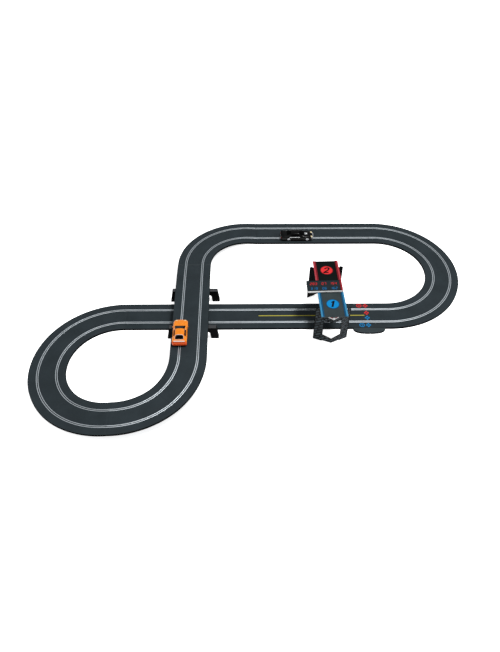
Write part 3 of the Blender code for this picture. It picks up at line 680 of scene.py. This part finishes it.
def rail_sections():
    """Outlines of the four contact strips of a track piece."""
    low = TRACK_HEIGHT - BED_DEPTH
    top = TRACK_HEIGHT + RAIL_PROUD
    for lane in (-LANE_OFFSET, LANE_OFFSET):
        for side in (-1, 1):
            near, far = lane + side * RAIL_INNER, lane + side * RAIL_OUTER
            lip = side * 0.0004
            yield [(near, low), (far, low), (far, top - 0.0002), (far - lip, top),
                   (near + lip, top), (near, top - 0.0002)]


def build_track():
    """Every track piece with its four contact strips."""
    outline, indices = track_section()
    for place in circuit_places():
        name = place[0]
        bm = bmesh.new()
        sweep(bm, outline, place, indices, rounding=0.0002)
        piece(f"{name}_moulding", bm, ["track", "track_chamfer_shade", "track_side_shade"], "track_plastic", [name])
        bm = bmesh.new()
        for section in rail_sections():
            sweep(bm, section, place)
        piece(f"{name}_rails", bm, ["rail"], "axle_steel")


def build_markings():
    """Centre line, chequered start line and the two lane numbers on the power base."""
    low, high = INK_BASE, INK_BASE + INK
    first, last = CENTRE_LINE_ENDS
    bm = bmesh.new()
    for start, end in ((first, LONG - 0.0008), (LONG + 0.0008, last)):
        block(bm, (start, -CENTRE_LINE_HALF, low), (end, CENTRE_LINE_HALF, high))
    piece("centre_line", bm, ["yellow"], "trim_white")

    bm = bmesh.new()
    across, along = START_CHECK
    squares = [(row, column) for row in range(3) for column in range(3) if (row + column) % 2]
    for side, index in ((1, 0), (-1, 1)):
        for start in START_BANDS:
            for row, column in squares:
                x = START_LINE_X + (column - 1.5) * across
                ends = sorted((side * (start + row * along), side * (start + (row + 1) * along)))
                block(bm, (x, ends[0], low), (x + across, ends[1], high), index)
    piece("start_line", bm, ["red", "blue"], "trim_white")

    for name, figure, y, finish in (("lane_two", 2, 0.062, "red"), ("lane_one", 1, -0.061, "blue")):
        bm = bmesh.new()
        flat_ring(bm, (LANE_MARK_X, y, low), LANE_MARK_RING, INK)
        add_numeral(bm, figure, (LANE_MARK_X, y, low), LANE_MARK_FIGURE, INK, 0.1)
        piece(f"{name}_mark", bm, [finish], "trim_white")


# ---- bridge supports

def rounded(corners, radius, steps):
    """A flat outline with rounded corners, from (u, v) corners."""
    points = []
    count = len(corners)
    for at in range(count):
        corner = Vector(corners[at])
        back = Vector(corners[at - 1]) - corner
        ahead = Vector(corners[(at + 1) % count]) - corner
        reach = min(radius, back.length * 0.4, ahead.length * 0.4)
        start = corner + back.normalized() * reach
        end = corner + ahead.normalized() * reach
        for step in range(steps + 1):
            share = step / steps
            point = start.lerp(corner, share).lerp(corner.lerp(end, share), share)
            points.append((point.x, point.y))
    return points


def rounded_box(low, high, radius, steps):
    """A rounded flat outline between two corners."""
    corners = [low, (high[0], low[1]), high, (low[0], high[1])]
    return rounded(corners, radius, steps)


def build_supports():
    """Two portals with recessed webs and rounded edges."""
    half = [(0.103, SUPPORT_TOP), (0.113, 0.0), (0.079, 0.0), (0.0737, 0.0347), (0.0621, 0.0447)]
    corners = half + [(-x, z) for x, z in reversed(half)]
    outline = rounded(corners, 0.0022, 3)
    for name, y in SUPPORTS.items():
        bm = bmesh.new()
        points = [(SUPPORT_X + x, y - SUPPORT_DEPTH / 2, z) for x, z in outline]
        faces = extruded(bm, points, (0, SUPPORT_DEPTH, 0))
        for face in faces[:2]:
            bmesh.ops.inset_region(bm, faces=[face], thickness=0.0040, depth=-0.0008)
        # The top face takes the grey finish: painted light on the lit top.
        for face in bm.faces:
            if face.calc_center_median().z > SUPPORT_TOP - 0.0005:
                face.material_index = 1
        piece(f"{name}_moulding", bm, ["support", "support_lit_top"], "support_plastic", [name],
              rounding=(0.0005, 2))
        bm = bmesh.new()
        wide, high = SUPPORT_RIB
        for side in (-1, 1):
            x = SUPPORT_X + side * SUPPORT_RIB_X
            for number in (1, 2):
                z = SUPPORT_TOP - number * 0.016
                for near, far in ((y - 0.0097, y - 0.0070), (y + 0.0070, y + 0.0097)):
                    block(bm, (x - wide, near, z), (x + wide, far, z + high))
        piece(f"{name}_ribs", bm, ["support"], "support_plastic")


# ---- connector housing

def build_housing():
    """Finishes of the housing's CAD pieces, and the trims round its sockets."""
    paint({"connector_housing": "housing", "housing_cover": "cover", "jack_block": "chassis",
           "circuit_board": "board"})
    housing = frame["nodes"]["connector_housing"]
    # Its upright sides take the near-black side finish: painted shade on the housing's sides.
    housing.data.materials.append(FINISHES["track_side_shade"])
    for face in housing.data.polygons:
        face.material_index = 1 if abs(face.normal.z) < 0.5 else 0
    bm = bmesh.new()
    for number in (-1, 0, 1):
        place = Matrix.Translation((HOUSING_X + number * SOCKET_SPACING, SOCKET_Y, SOCKET_HEIGHT))
        lathe(bm, [(0.0013, 0.0), (0.0022, 0.0), (0.0022, -0.0006), (0.0013, -0.0010)], 24, 0, place)
    piece("socket_rims", bm, ["rim"], "axle_steel")


def paint(finishes, prefix=""):
    """Give CAD pieces their finishes."""
    for name, finish in finishes.items():
        materials = frame["nodes"][prefix + name].data.materials
        if not materials:
            materials.append(FINISHES[finish])
        for at in range(len(materials)):
            materials[at] = FINISHES[finish]


# ---- gantry

def folded(across, up, skin=0.0):
    """A point of the near wall, which is folded outwards along its upright middle."""
    lean = (WALL_APEX_Y - WALL_CORNER_Y) * (1 - abs(across) / WALL_HALF)
    return Vector((across, -WALL_CORNER_Y - lean + skin, up))


def build_wall(name, turn):
    """Wall with a raised black border round a woven panel."""
    half = [
        (-WALL_HALF, 0.0), (-WINDOW_HALF, 0.0), (-WINDOW_HALF, 0.004), (0.0, 0.004),
        (0.0, 0.028), (-WINDOW_HALF, 0.0385), (-WINDOW_HALF, 0.133), (0.0, 0.124),
        (0.0, 0.147), (-WINDOW_HALF, 0.156), (-WINDOW_HALF, 0.1757), (-0.0601, 0.1757),
        (-0.0601, 0.183), (-WALL_HALF, 0.186),
    ]
    bm = bmesh.new()
    store = {}

    def vert(across, up, skin):
        key = (round(across, 5), round(up, 5), skin)
        if key not in store:
            store[key] = bm.verts.new(folded(across, up, skin))
        return store[key]

    fronts = []
    for side in (1, -1):
        points = [(side * across, up) for across, up in half]
        fronts.append(bm.faces.new([vert(*point, 0.0) for point in points]))
        back = bm.faces.new([vert(*point, WALL_THICKNESS) for point in points])
        back.material_index = 1
        for start, end in zip(points, points[1:] + points[:1]):
            if abs(start[0]) < 1e-6 and abs(end[0]) < 1e-6:
                continue
            rim = bm.faces.new((vert(*start, 0.0), vert(*end, 0.0),
                                vert(*end, WALL_THICKNESS), vert(*start, WALL_THICKNESS)))
            rim.material_index = 1
    bmesh.ops.recalc_face_normals(bm, faces=bm.faces)
    for face in fronts:
        face.material_index = 1
    bmesh.ops.inset_region(bm, faces=fronts, thickness=WALL_BORDER, depth=-0.0006,
                           use_even_offset=True)
    for face in fronts:
        face.material_index = 0
    matrix = GANTRY @ Matrix.Rotation(turn, 4, "Z")
    piece(f"{name}_wall_panel", bm, ["weave", "frame_black"], "gantry_weave",
          [f"{name}_gantry_wall"], matrix=matrix, rounding=(0.0003, 1))


def build_chevron(name, turn):
    """White strip with red bars that meet in a point."""
    bm = bmesh.new()
    rows = ((0.0003, 0.0045, 0), (0.0050, 0.0112, 1))
    for side in (-1, 1):
        for bottom, top, colour in rows:
            spans = [(0.0365, 0.0060), (0.0048, 0.0)] if colour else [(0.0375, 0.0)]
            for far, near in spans:
                outline = []
                for across, lift in ((far, bottom), (near, bottom), (near, top), (far, top)):
                    height = CHEVRON_LOW + CHEVRON_RISE * across / WINDOW_HALF
                    outline.append(folded(side * across, height + lift, -0.0004))
                extruded(bm, outline, (0, 0.0034, 0), 2 if colour and far < 0.01 else colour)
    matrix = GANTRY @ Matrix.Rotation(turn, 4, "Z")
    piece(f"{name}_chevron_bars", bm, ["white", "red_deep", "white"], "trim_white",
          [f"{name}_chevron"], matrix=matrix, rounding=(0.0003, 1))


def build_deck(name, turn, plate, colours, figure):
    """Roof half: ribbed plate, rails with a painted highlight on their outer strip, and a disc with
    the lane's number.
    """
    matrix = GANTRY @ Matrix.Rotation(turn, 4, "Z")
    step = DECK_HALF - DECK_RAIL
    run = DECK_REACH - DECK_GAP
    bm = bmesh.new()
    outline = rounded_box((-DECK_HALF, DECK_LOW), (DECK_HALF, DECK_TOP + 0.0004), 0.0006, 2)
    points = [(x, -DECK_REACH, z - 0.0004 if z > DECK_LOW + 0.002 else z) for x, z in outline]
    extruded(bm, points, (0, run, 0))
    piece(f"{name}_deck_plate", bm, [plate], "deck_plastic", [f"{name}_deck"],
          matrix=matrix, rounding=(0.0003, 1))
    bm = bmesh.new()
    for side in (-1, 1):
        # The outer strip takes the pale ink: a painted highlight along the rail's outer edge.
        strips = ((DECK_HALF, DECK_HALF - 0.0078, RAIL_TOP, 0),
                  (DECK_HALF - 0.0084, step + 0.0008, RAIL_TOP - 0.0003, 1))
        for outer, inner, top, index in strips:
            lip = 0.0004
            points = [(outer, DECK_TOP - 0.0002), (inner, DECK_TOP - 0.0002), (inner, top - lip),
                      (inner + lip, top), (outer - lip, top), (outer, top - lip)]
            extruded(bm, [(side * x, -DECK_REACH, z) for x, z in points], (0, run, 0), index)
    piece(f"{name}_deck_rails", bm, colours[:2], "deck_plastic", matrix=matrix)
    bm = bmesh.new()
    low, high = DECK_TOP - 0.0002, DECK_TOP + 0.0005
    for number in range(2):
        y = -DECK_REACH + 0.0045 + number * 0.0050
        block(bm, (-step + 0.003, y, low), (step - 0.003, y + 0.0016, high))
    for side in (-1, 1):
        x = side * (step - 0.0022)
        block(bm, (x - 0.0006, -DECK_REACH + 0.002, low), (x + 0.0006, -0.040, high))
    piece(f"{name}_deck_ribs", bm, [plate], "deck_plastic", matrix=matrix, rounding=(0.0002, 1))

    centre_y = -0.1130 if turn else -0.1012
    centre = Vector((0.0005, centre_y, DECK_TOP - 0.0002))
    bm = bmesh.new()
    extruded(bm, disc(centre, DISC_FACE), (0, 0, 0.0011), 3)
    flat_ring(bm, centre, DISC_RING, 0.0009, 1)
    add_numeral(bm, figure, centre + Vector((0, 0, 0.0010)), DISC_FIGURE, 0.0006, 0.28, 2, -turn)
    face = "blue" if figure == 1 else "red"
    piece(f"{name}_disc", bm, [colours[0], colours[2], "digit", face], "deck_plastic",
          matrix=matrix)


SEGMENTS = {
    "a": ((-0.5, 1.0), (0.5, 1.0)), "b": ((0.5, 1.0), (0.5, 0.0)), "c": ((0.5, 0.0), (0.5, -1.0)),
    "d": ((-0.5, -1.0), (0.5, -1.0)), "e": ((-0.5, 0.0), (-0.5, -1.0)),
    "f": ((-0.5, 1.0), (-0.5, 0.0)), "g": ((-0.5, 0.0), (0.5, 0.0)),
}
FIGURES = {
    "0": "abcdef", "1": "bc", "2": "abged", "3": "abgcd", "4": "fgbc",
    "5": "afgcd", "6": "afgecd", "7": "abc", "8": "abcdefg", "9": "abcdfg",
}


def add_display_figure(bm, figure, x, y, z, size, index):
    """Add one seven-segment figure, lying flat."""
    for name in FIGURES[figure]:
        start, end = (Vector(point) for point in SEGMENTS[name])
        start, end = start.lerp(end, 0.10), end.lerp(start, 0.10)
        for quad in ribbon([tuple(start * size), tuple(end * size)], size * 0.34):
            outline = [(x + point.x + 0.12 * point.y, y + point.y, z) for point in quad]
            extruded(bm, outline, (0, 0, 0.0004), index)


def build_display():
    """Lap display: bezel, screen, lap figures, side strip and underside bracket."""
    cx, cy = BOARD_CENTRE
    hx, hy = BOARD_HALF
    left, right, near, far = cx - hx, cx + hx, cy - hy, cy + hy
    top = BOARD_LOW + BOARD_HEIGHT
    bm = bmesh.new()
    corners = rounded_box((left, near), (right, far), 0.0025, 3)
    faces = extruded(bm, [(x, y, BOARD_LOW) for x, y in corners], (0, 0, BOARD_HEIGHT))
    bmesh.ops.inset_region(bm, faces=[faces[1]], thickness=BOARD_BEZEL, depth=0)
    bmesh.ops.inset_region(bm, faces=[faces[1]], thickness=0.0006, depth=-0.0010)
    faces[1].material_index = 1
    piece("display_case", bm, ["frame_black", "screen"], "display_plastic",
          ["display_board"], matrix=GANTRY, rounding=(0.0004, 2))
    bm = bmesh.new()
    z = top - 0.0011
    for row, index, groups in ((1, 0, ("283", "07", "154")), (-1, 1, ("319", "06", "162"))):
        for text, start in zip(groups, FIGURE_STARTS):
            for at, figure in enumerate(text):
                x = left + start + at * FIGURE_PITCH
                add_display_figure(bm, figure, x, cy + row * FIGURE_ROW, z, FIGURE_SIZE, index)
    piece("display_figures", bm, ["glow_red", "glow_blue"], "display_plastic", matrix=GANTRY)
    bm = bmesh.new()
    front, back = near - 0.0005, near + 0.0022
    low, high, middle = BOARD_LOW + 0.0008, top + 0.0003, BOARD_LOW + 0.0040
    profile = [
        (front, low + 0.0008), (front + 0.0008, low), (back, low), (back, high),
        (front + 0.0006, high), (front, high - 0.0006), (front, middle + 0.0005),
        (front + 0.0004, middle), (front, middle - 0.0005),
    ]
    extruded(bm, [(left + 0.0015, y, z) for y, z in profile], (2 * hx - 0.0025, 0, 0))
    piece("display_front_trim", bm, ["white"], "trim_white", matrix=GANTRY, rounding=(0.0001, 1))
    bm = bmesh.new()
    # The outer block is pale red: a painted highlight on the strip's outer end.
    for offset, index in ((0.0, 0), (0.0048, 1)):
        x = right - 0.0098 + offset
        block(bm, (x, near + 0.0024, top - 0.0015), (x + 0.0044, far - 0.0020, top + 0.0004),
              index)
    piece("display_end_trim", bm, ["red_deep", "red_highlight"], "display_plastic",
          matrix=GANTRY, rounding=(0.0003, 1))
    bm = bmesh.new()
    for y in (near + 0.001, far - 0.004):
        corners = [(left + 0.001, 0.0002), (-DECK_HALF - 0.0160, 0.0002), (left + 0.001, -0.0150)]
        outline = [(x, y, BOARD_LOW + lift) for x, lift in corners]
        extruded(bm, outline, (0, 0.003, 0))
    piece("display_bracket", bm, ["frame_black"], "display_plastic", matrix=GANTRY,
          rounding=(0.0004, 1))


def build_gantry():
    """Both sides of the gantry and the display across them."""
    for name, turn in (("near", 0.0), ("far", pi)):
        build_wall(name, turn)
        build_chevron(name, turn)
    build_deck("near", 0.0, "deck_near", ["blue_highlight", "blue_deep", "blue_deep"], 1)
    build_deck("far", pi, "deck_far", ["red_highlight", "red_deep", "red_deep"], 2)
    build_display()


# ---- cars

def body_stations(car):
    """Place, half width, lower edge, deck height, roof half width and roof height."""
    half = car["half"]
    roof = half * 0.60
    middle = (car["roof_rear"] + car["roof_front"]) / 2
    bonnet = car["cowl"] + (car["nose"] - car["cowl"]) * 0.50
    lip = car["nose"] - 0.0120
    return (
        (car["tail"], half * 0.90, 0.0120, 0.0200, None, None),
        (car["tail"] + 0.0030, half * 0.96, 0.0100, 0.0235, None, None),
        (car["deck_edge"], half * 0.99, 0.0070, 0.0288, None, None),
        (car["rear_glass"], half, 0.0050, 0.0295, None, None),
        (car["roof_rear"], half, 0.0050, 0.0285, roof - 0.0008, 0.0405),
        (middle, half, 0.0050, 0.0278, roof, 0.0420),
        (car["roof_front"], half * 0.99, 0.0050, 0.0274, roof - 0.0006, 0.0412),
        (car["cowl"] + 0.0020, half * 0.99, 0.0050, 0.0272, None, None),
        (bonnet, half, 0.0050, 0.0262, None, None),
        (lip, half * 0.965, 0.0055, 0.0234, None, None),
        (car["nose"] - 0.0062, half * 0.88, 0.0065, 0.0214, None, None),
        (car["nose"] - 0.0022, half * 0.72, 0.0075, 0.0192, None, None),
        (car["nose"], half * 0.50, 0.0085, 0.0165, None, None),
    )


def body_section(station):
    """Points of one section from the right sill over the top to the left sill."""
    x, half, low, deck, roof_half, roof = station
    waist = low + (deck - low) * 0.45
    points = [(half - 0.0012, low), (half, waist), (half - 0.0006, deck - 0.0035)]
    points += [(half * 0.84, deck)]
    if roof is None:
        points += [(half * 0.74, deck + 0.0003), (half * 0.66, deck + 0.0005)]
        points += [(half * 0.35, deck + 0.0010)]
        top = deck + 0.0012
    else:
        points += [(roof_half + 0.0006, roof - 0.0042), (roof_half - 0.0014, roof - 0.0015)]
        points += [(roof_half * 0.50, roof - 0.0003)]
        top = roof
    right = [(-across, up) for across, up in points]
    left = [(across, up) for across, up in reversed(points)]
    return [Vector((x, across, up)) for across, up in right + [(0.0, top)] + left]


def window_kind(station, strip):
    """1 for a windscreen or rear window patch, 2 for a side window patch, else 0."""
    if strip in (3, 10) and station in (4, 5):
        return 2
    if station == 3 and 5 <= strip <= 8 or station == 6 and 4 <= strip <= 9:
        return 1
    return 0


def border(faces):
    """The edges round a patch of faces."""
    edges = {edge for face in faces for edge in face.edges}
    return [edge for edge in edges if sum(face in faces for face in edge.link_faces) == 1]


def car_body(name, car, matrix):
    """Smooth body with framed windows and wheel arches."""
    bm = bmesh.new()
    crease = bm.edges.layers.float.new("crease_edge")
    rows = [[bm.verts.new(point) for point in body_section(station)] for station in body_stations(car)]
    groups = {}
    for station in range(len(rows) - 1):
        for strip in range(len(rows[0]) - 1):
            near, far = rows[station], rows[station + 1]
            face = bm.faces.new((near[strip], near[strip + 1], far[strip + 1], far[strip]))
            face.material_index = 5 if station < 2 else 0
            kind = window_kind(station, strip)
            if kind:
                key = (kind, station if kind == 1 else strip)
                groups.setdefault(key, []).append(face)
    for end in (rows[0], rows[-1]):
        cap = bm.faces.new(end)
        cap.material_index = 5 if end is rows[0] else 0
        bmesh.ops.poke(bm, faces=[cap])
    bmesh.ops.recalc_face_normals(bm, faces=bm.faces)
    for edge in bm.edges:
        if edge.is_boundary:
            edge[crease] = 1.0
    for line, weight in ((2, 0.35), (3, 0.6), (4, 0.55)):
        for row, after in zip(rows, rows[1:]):
            for strip in (line, 14 - line):
                edge = bm.edges.get((row[strip], after[strip]))
                if edge:
                    edge[crease] = max(edge[crease], weight)
    for station in (2, 9):
        for strip in range(14):
            edge = bm.edges.get((rows[station][strip], rows[station][strip + 1]))
            if edge:
                edge[crease] = 0.5
    for (kind, where), faces in groups.items():
        for edge in border(faces):
            edge[crease] = 0.85
        bmesh.ops.inset_region(bm, faces=faces, thickness=0.0009 if kind == 1 else 0.0004, depth=0)
        for edge in border(faces):
            edge[crease] = 0.95
            for face in set(edge.link_faces) - set(faces):
                face.material_index = 4 if kind == 1 and where == 3 else 3
        for face in faces:
            face.material_index = 1 if kind == 1 else 2
        verts = list({vert for face in faces for vert in face.verts})
        bmesh.ops.translate(bm, vec=(0, 0, -0.0001), verts=verts)
    # On the orange car the rear window's frame is pale: a painted highlight of glare.
    rear_frame = "pale_highlight_trim" if name == "orange" else "frame_black"
    side_glass = "glass_brown" if name == "orange" else "glass"
    # Slot 5, the tail stations and rear cap, takes a shaded copy of the body paint on the orange car:
    # painted shade on the tail.
    tail_shade_finish = "orange_shaded" if name == "orange" else "black"
    finishes = [name, "glass", side_glass, "frame_black", rear_frame, tail_shade_finish]
    thing = piece(f"{name}_body", bm, finishes, f"{name}_paint",
                  [f"{name}_body_shell", f"{name}_glazing"], f"{name}_car", matrix, sharp=60.0)
    smooth = thing.modifiers.new("smooth", "SUBSURF")
    smooth.levels = 2
    smooth.render_levels = 2
    shell = thing.modifiers.new("shell", "SOLIDIFY")
    shell.thickness = SHELL_THICKNESS
    shell.offset = SHELL_SIDE[name]
    for number, x in enumerate(car["axles"]):
        arch = bmesh.new()
        turned = Matrix.Translation((x, 0, AXLE_HEIGHT)) @ Matrix.Rotation(pi / 2, 4, "X")
        bmesh.ops.create_cone(arch, cap_ends=True, segments=40, radius1=ARCH_RADIUS,
                              radius2=ARCH_RADIUS, depth=2 * car["half"] + 0.02,
                              matrix=matrix @ turned)
        mesh = bpy.data.meshes.new(f"{name}_arch_{number}")
        arch.to_mesh(mesh)
        arch.free()
        tool = bpy.data.objects.new(f"{name}_arch_{number}", mesh)
        bpy.context.scene.collection.objects.link(tool)
        cut = thing.modifiers.new(f"arch_{number}", "BOOLEAN")
        cut.operation = "DIFFERENCE"
        cut.object = tool
        bpy.context.view_layer.update()
    bake_modifiers(thing)
    for number in range(2):
        bpy.data.objects.remove(bpy.data.objects[f"{name}_arch_{number}"], do_unlink=True)
    thing.data.set_sharp_from_angle(angle=radians(42))


def bake_modifiers(thing):
    """Apply a piece's modifiers to its own mesh."""
    graph = bpy.context.evaluated_depsgraph_get()
    result = bpy.data.meshes.new_from_object(thing.evaluated_get(graph))
    thing.modifiers.clear()
    thing.data = result


def add_bar(bm, end, bend, section):
    """Add a bar across a car, to (x, half width, z), that curves back towards its ends."""
    x, wide, z = end
    thickness, height = section
    shares = [at / 10 for at in range(-10, 11)]
    front = [(x - bend * share ** 4, wide * share, z) for share in shares]
    back = [(x - thickness, y, z) for x, y, z in reversed(front)]
    extruded(bm, front + back, (0, 0, height))


def car_trim(name, car, matrix):
    """Lamps, bumpers, mirrors, side strips, grille and spoiler."""
    half, nose, tail = car["half"], car["nose"], car["tail"]
    slot = f"{name}_paint"
    ride = {"body": f"{name}_car", "matrix": matrix}
    bm = bmesh.new()
    for side in (-1, 1):
        y = side * half * 0.58
        dome(bm, (nose - 0.0096, y, 0.0222), (0.0052, 0.0060, 0.0026), 0)
        dome(bm, (nose - 0.0099, y, 0.0216), (0.0062, 0.0070, 0.0024), 1)
        for offset in (0.30, 0.62):
            y = side * half * (offset + 0.08)
            dome(bm, (tail + 0.0012, y, 0.0185), (0.0016, 0.0038, 0.0024), 2)
    bezel = "frame_black" if name == "orange" else "chrome"
    piece(f"{name}_lamps", bm, ["lamp", bezel, "lamp_red"], slot, **ride)

    bm = bmesh.new()
    for side in (-1, 1):
        for index, start, end, z in ((0, -0.030, 0.032, 0.0135), (1, -0.038, 0.014, 0.0258)):
            y = side * (half - 0.0010 * index)
            low = (start, min(y, y + side * 0.0008), z)
            high = (end, max(y, y + side * 0.0008), z + 0.0008 + 0.0006 * index)
            block(bm, low, high, index)
    belt = "chrome" if name == "black" else "frame_black"
    piece(f"{name}_side_strips", bm, ["frame_black", belt], slot, **ride, rounding=(0.0002, 1))

    bm = bmesh.new()
    for x, z, wide, sign in ((nose, 0.0105, half * 0.84, 1), (tail, 0.0118, half * 0.90, -1)):
        add_bar(bm, (x + sign * 0.0004, wide, z), sign * 0.0040, (sign * 0.0020, 0.0030))
    # The orange car's bumpers take the shaded copy of the orange: painted shade.
    finish = "chrome" if name == "black" else "orange_shaded"
    piece(f"{name}_bumpers", bm, [finish], slot, **ride, rounding=(0.0006, 2))

    if name == "black":
        bm = bmesh.new()
        add_bar(bm, (nose + 0.0006, half * 0.86, 0.0158), 0.0062, (0.0034, 0.0040))
        # A chrome plate on the bonnet: it stands in for a highlight on the bonnet, painted light.
        extruded(bm, [(car["cowl"] + 0.0050, y, 0.0272) for y in (-0.008, 0.008)] +
                 [(car["cowl"] + 0.0190, y, 0.0264) for y in (0.006, -0.006)], (0, 0, 0.0020))
        piece("black_nose_bar_and_highlight_plate", bm, ["chrome"], slot, **ride, rounding=(0.0005, 2))

    bm = bmesh.new()
    for step in range(4):
        z = 0.0142 + step * 0.0011
        x = nose - 0.0006 - step * 0.0004
        block(bm, (x - 0.0010, -half * 0.42, z), (x + 0.0006, half * 0.42, z + 0.0005))
    for side in (-1, 1):
        dome(bm, (nose - 0.0004, side * half * 0.60, 0.0120), (0.0010, 0.0026, 0.0012))
    piece(f"{name}_grille", bm, ["frame_black"], slot, **ride)

    bm = bmesh.new()
    for side in (-1, 1):
        dome(bm, (car["cowl"] - 0.0060, side * (half + 0.0006), 0.0312), (0.0018, 0.0028, 0.0018))
        arm = sorted((side * half * 0.86, side * (half + 0.0004)))
        block(bm, (car["cowl"] - 0.0068, arm[0], 0.0292), (car["cowl"] - 0.0052, arm[1], 0.0304))
    piece(f"{name}_mirrors", bm, [name], slot, **ride)

    bm = bmesh.new()
    edge = car["deck_edge"]
    outline = [(edge + 0.0060, 0.0288), (edge - 0.0035, 0.0312), (edge - 0.0050, 0.0304),
               (edge - 0.0030, 0.0280)]
    extruded(bm, [(x, -half * 0.80, z) for x, z in outline], (0, half * 1.60, 0), 0)
    # The strip along the spoiler's top takes the cap finish, pale on the orange car: a painted
    # highlight on the lip.
    block(bm, (edge - 0.0046, -half * 0.76, 0.0304), (edge + 0.0016, half * 0.76, 0.0316), 1)
    cap = "pale_highlight_trim" if name == "orange" else "frame_black"
    piece(f"{name}_spoiler", bm, [name, cap], slot, **ride, rounding=(0.0003, 2))


def build_wheels(name, car, matrix):
    """Rounded tyres on spoked wheels, turning with their axles."""
    tread = [(0.0009, WHEEL_HALF), (0.0003, WHEEL_HALF - 0.0003), (0.0, WHEEL_HALF - 0.0011),
             (0.0, 0.0008), (0.0003, 0.0006)]
    tyre = [(WHEEL_RADIUS - drop, -y) for drop, y in tread]
    tyre += [(WHEEL_RADIUS - drop, y) for drop, y in reversed(tread)]
    tyre += [(0.0076, WHEEL_HALF), (0.0071, WHEEL_HALF - 0.0006), (0.0071, -WHEEL_HALF)]
    rim = [
        (0.0071, WHEEL_HALF - 0.0002), (0.0064, WHEEL_HALF - 0.0001), (0.0060, WHEEL_HALF - 0.0012),
        (0.0058, WHEEL_HALF - 0.0034), (0.0016, WHEEL_HALF - 0.0034), (0.0016, -WHEEL_HALF + 0.0003),
        (0.0071, -WHEEL_HALF + 0.0003),
    ]
    for end, x in zip(("rear", "front"), car["axles"]):
        for side, sign in (("left", 1), ("right", -1)):
            place = matrix @ Matrix.Translation((x, sign * (car["half"] - WHEEL_INSET), AXLE_HEIGHT))
            if sign < 0:
                place = place @ Matrix.Rotation(pi, 4, "Z")
            node = f"{name}_{end}_{side}_wheel"
            body = f"{name}_{end}_wheels"
            bm = bmesh.new()
            lathe(bm, tyre, 48)
            piece(f"{node}_tyre", bm, ["rubber"], "tyre", [node], body, place)
            bm = bmesh.new()
            lathe(bm, rim, 40)
            lathe(bm, [(0.0004, WHEEL_HALF - 0.0006), (0.0014, WHEEL_HALF - 0.0008),
                       (0.0017, WHEEL_HALF - 0.0030), (0.0004, WHEEL_HALF - 0.0030)], 20)
            for spoke in range(5):
                turned = Matrix.Rotation(2 * pi * spoke / 5, 4, "Y")
                made = block(bm, (0.0010, WHEEL_HALF - 0.0026, -0.0008),
                             (0.0062, WHEEL_HALF - 0.0010, 0.0008))
                verts = list({vert for face in made for vert in face.verts})
                bmesh.ops.transform(bm, matrix=turned, verts=verts)
            piece(f"{node}_rim", bm, ["rim"], "axle_steel", (), body, place)


def build_running_gear(name, car, matrix):
    """Finishes of the car's CAD mechanism, and the guide's braids."""
    paint({"chassis": "chassis", "motor": "can", "front_axle": "steel", "rear_axle": "steel",
           "spur_gear": "nylon", "pinion": "brass", "guide": "chassis"}, f"{name}_")
    for part, width, segments in (("motor", 0.0006, 2), ("chassis", 0.0002, 1), ("guide", 0.0002, 1)):
        soften(frame["nodes"][f"{name}_{part}"], width, segments)
    pivot = car["axles"][1] + GUIDE_AHEAD
    bm = bmesh.new()
    for side in (-1, 1):
        for strand in range(3):
            y = side * (0.0024 + strand * 0.0007)
            low = [(pivot + 0.002, 0.0012), (pivot - 0.004, 0.0009), (pivot - 0.0095, 0.0004)]
            high = [(x, z + 0.0004) for x, z in reversed(low)]
            extruded(bm, [(x, y - 0.0003, z) for x, z in low + high], (0, 0.0006, 0))
    piece(f"{name}_braids", bm, ["copper"], "axle_steel", (), f"{name}_guide_blade", matrix)


def build_cars():
    """Both cars, each in its own place on the circuit."""
    for name, car in CARS.items():
        matrix = Matrix.Translation(car["place"]) @ Matrix.Rotation(car["heading"], 4, "Z")
        car_body(name, car, matrix)
        car_trim(name, car, matrix)
        build_wheels(name, car, matrix)
        build_running_gear(name, car, matrix)


# ---- studio

def build_studio():
    """Floor, soft lights, world and the camera."""
    scene = bpy.context.scene
    scene.view_settings.view_transform = "Standard"
    bm = bmesh.new()
    bmesh.ops.create_grid(bm, x_segments=8, y_segments=8, size=FLOOR_HALF)
    mesh = bpy.data.meshes.new("studio_floor")
    bm.to_mesh(mesh)
    bm.free()
    floor = bpy.data.objects.new("studio_floor", mesh)
    floor.location = (0, 0, -0.0003)
    mesh.materials.append(make_floor())
    scene.collection.objects.link(floor)

    world = bpy.data.worlds.new("studio")
    scene.world = world
    world.use_nodes = True
    sky = world.node_tree.nodes["Background"]
    set_inputs(sky, {"Color": (0.96, 0.98, 1.0, 1.0), "Strength": SKY_STRENGTH})

    for name, place, size, power in LAMPS:
        lamp = bpy.data.lights.new(name, "AREA")
        lamp.size = size
        lamp.energy = power
        light = bpy.data.objects.new(name, lamp)
        light.location = place
        light.rotation_euler = (-Vector(place)).to_track_quat("-Z", "Y").to_euler()
        scene.collection.objects.link(light)

    pitch, yaw, roll = radians(CAMERA_PITCH), radians(CAMERA_YAW), radians(CAMERA_ROLL)
    ahead = Vector((sin(yaw) * cos(pitch), cos(yaw) * cos(pitch), -sin(pitch)))
    right = Vector((cos(yaw), -sin(yaw), 0))
    up = right.cross(ahead)
    side = cos(roll) * right + sin(roll) * up
    top = -sin(roll) * right + cos(roll) * up
    matrix = Matrix((side, top, -ahead)).transposed().to_4x4()
    matrix.translation = Vector(CAMERA_PLACE)
    data = bpy.data.cameras.new("camera")
    data.sensor_fit = "VERTICAL"
    data.sensor_height = 36.0
    data.lens = CAMERA_LENS
    camera = bpy.data.objects.new("camera", data)
    camera.matrix_world = matrix
    scene.collection.objects.link(camera)
    scene.camera = camera


build_studio()
build_track()
build_markings()
build_supports()
build_housing()
build_gantry()
build_cars()
bpy.context.view_layer.update()
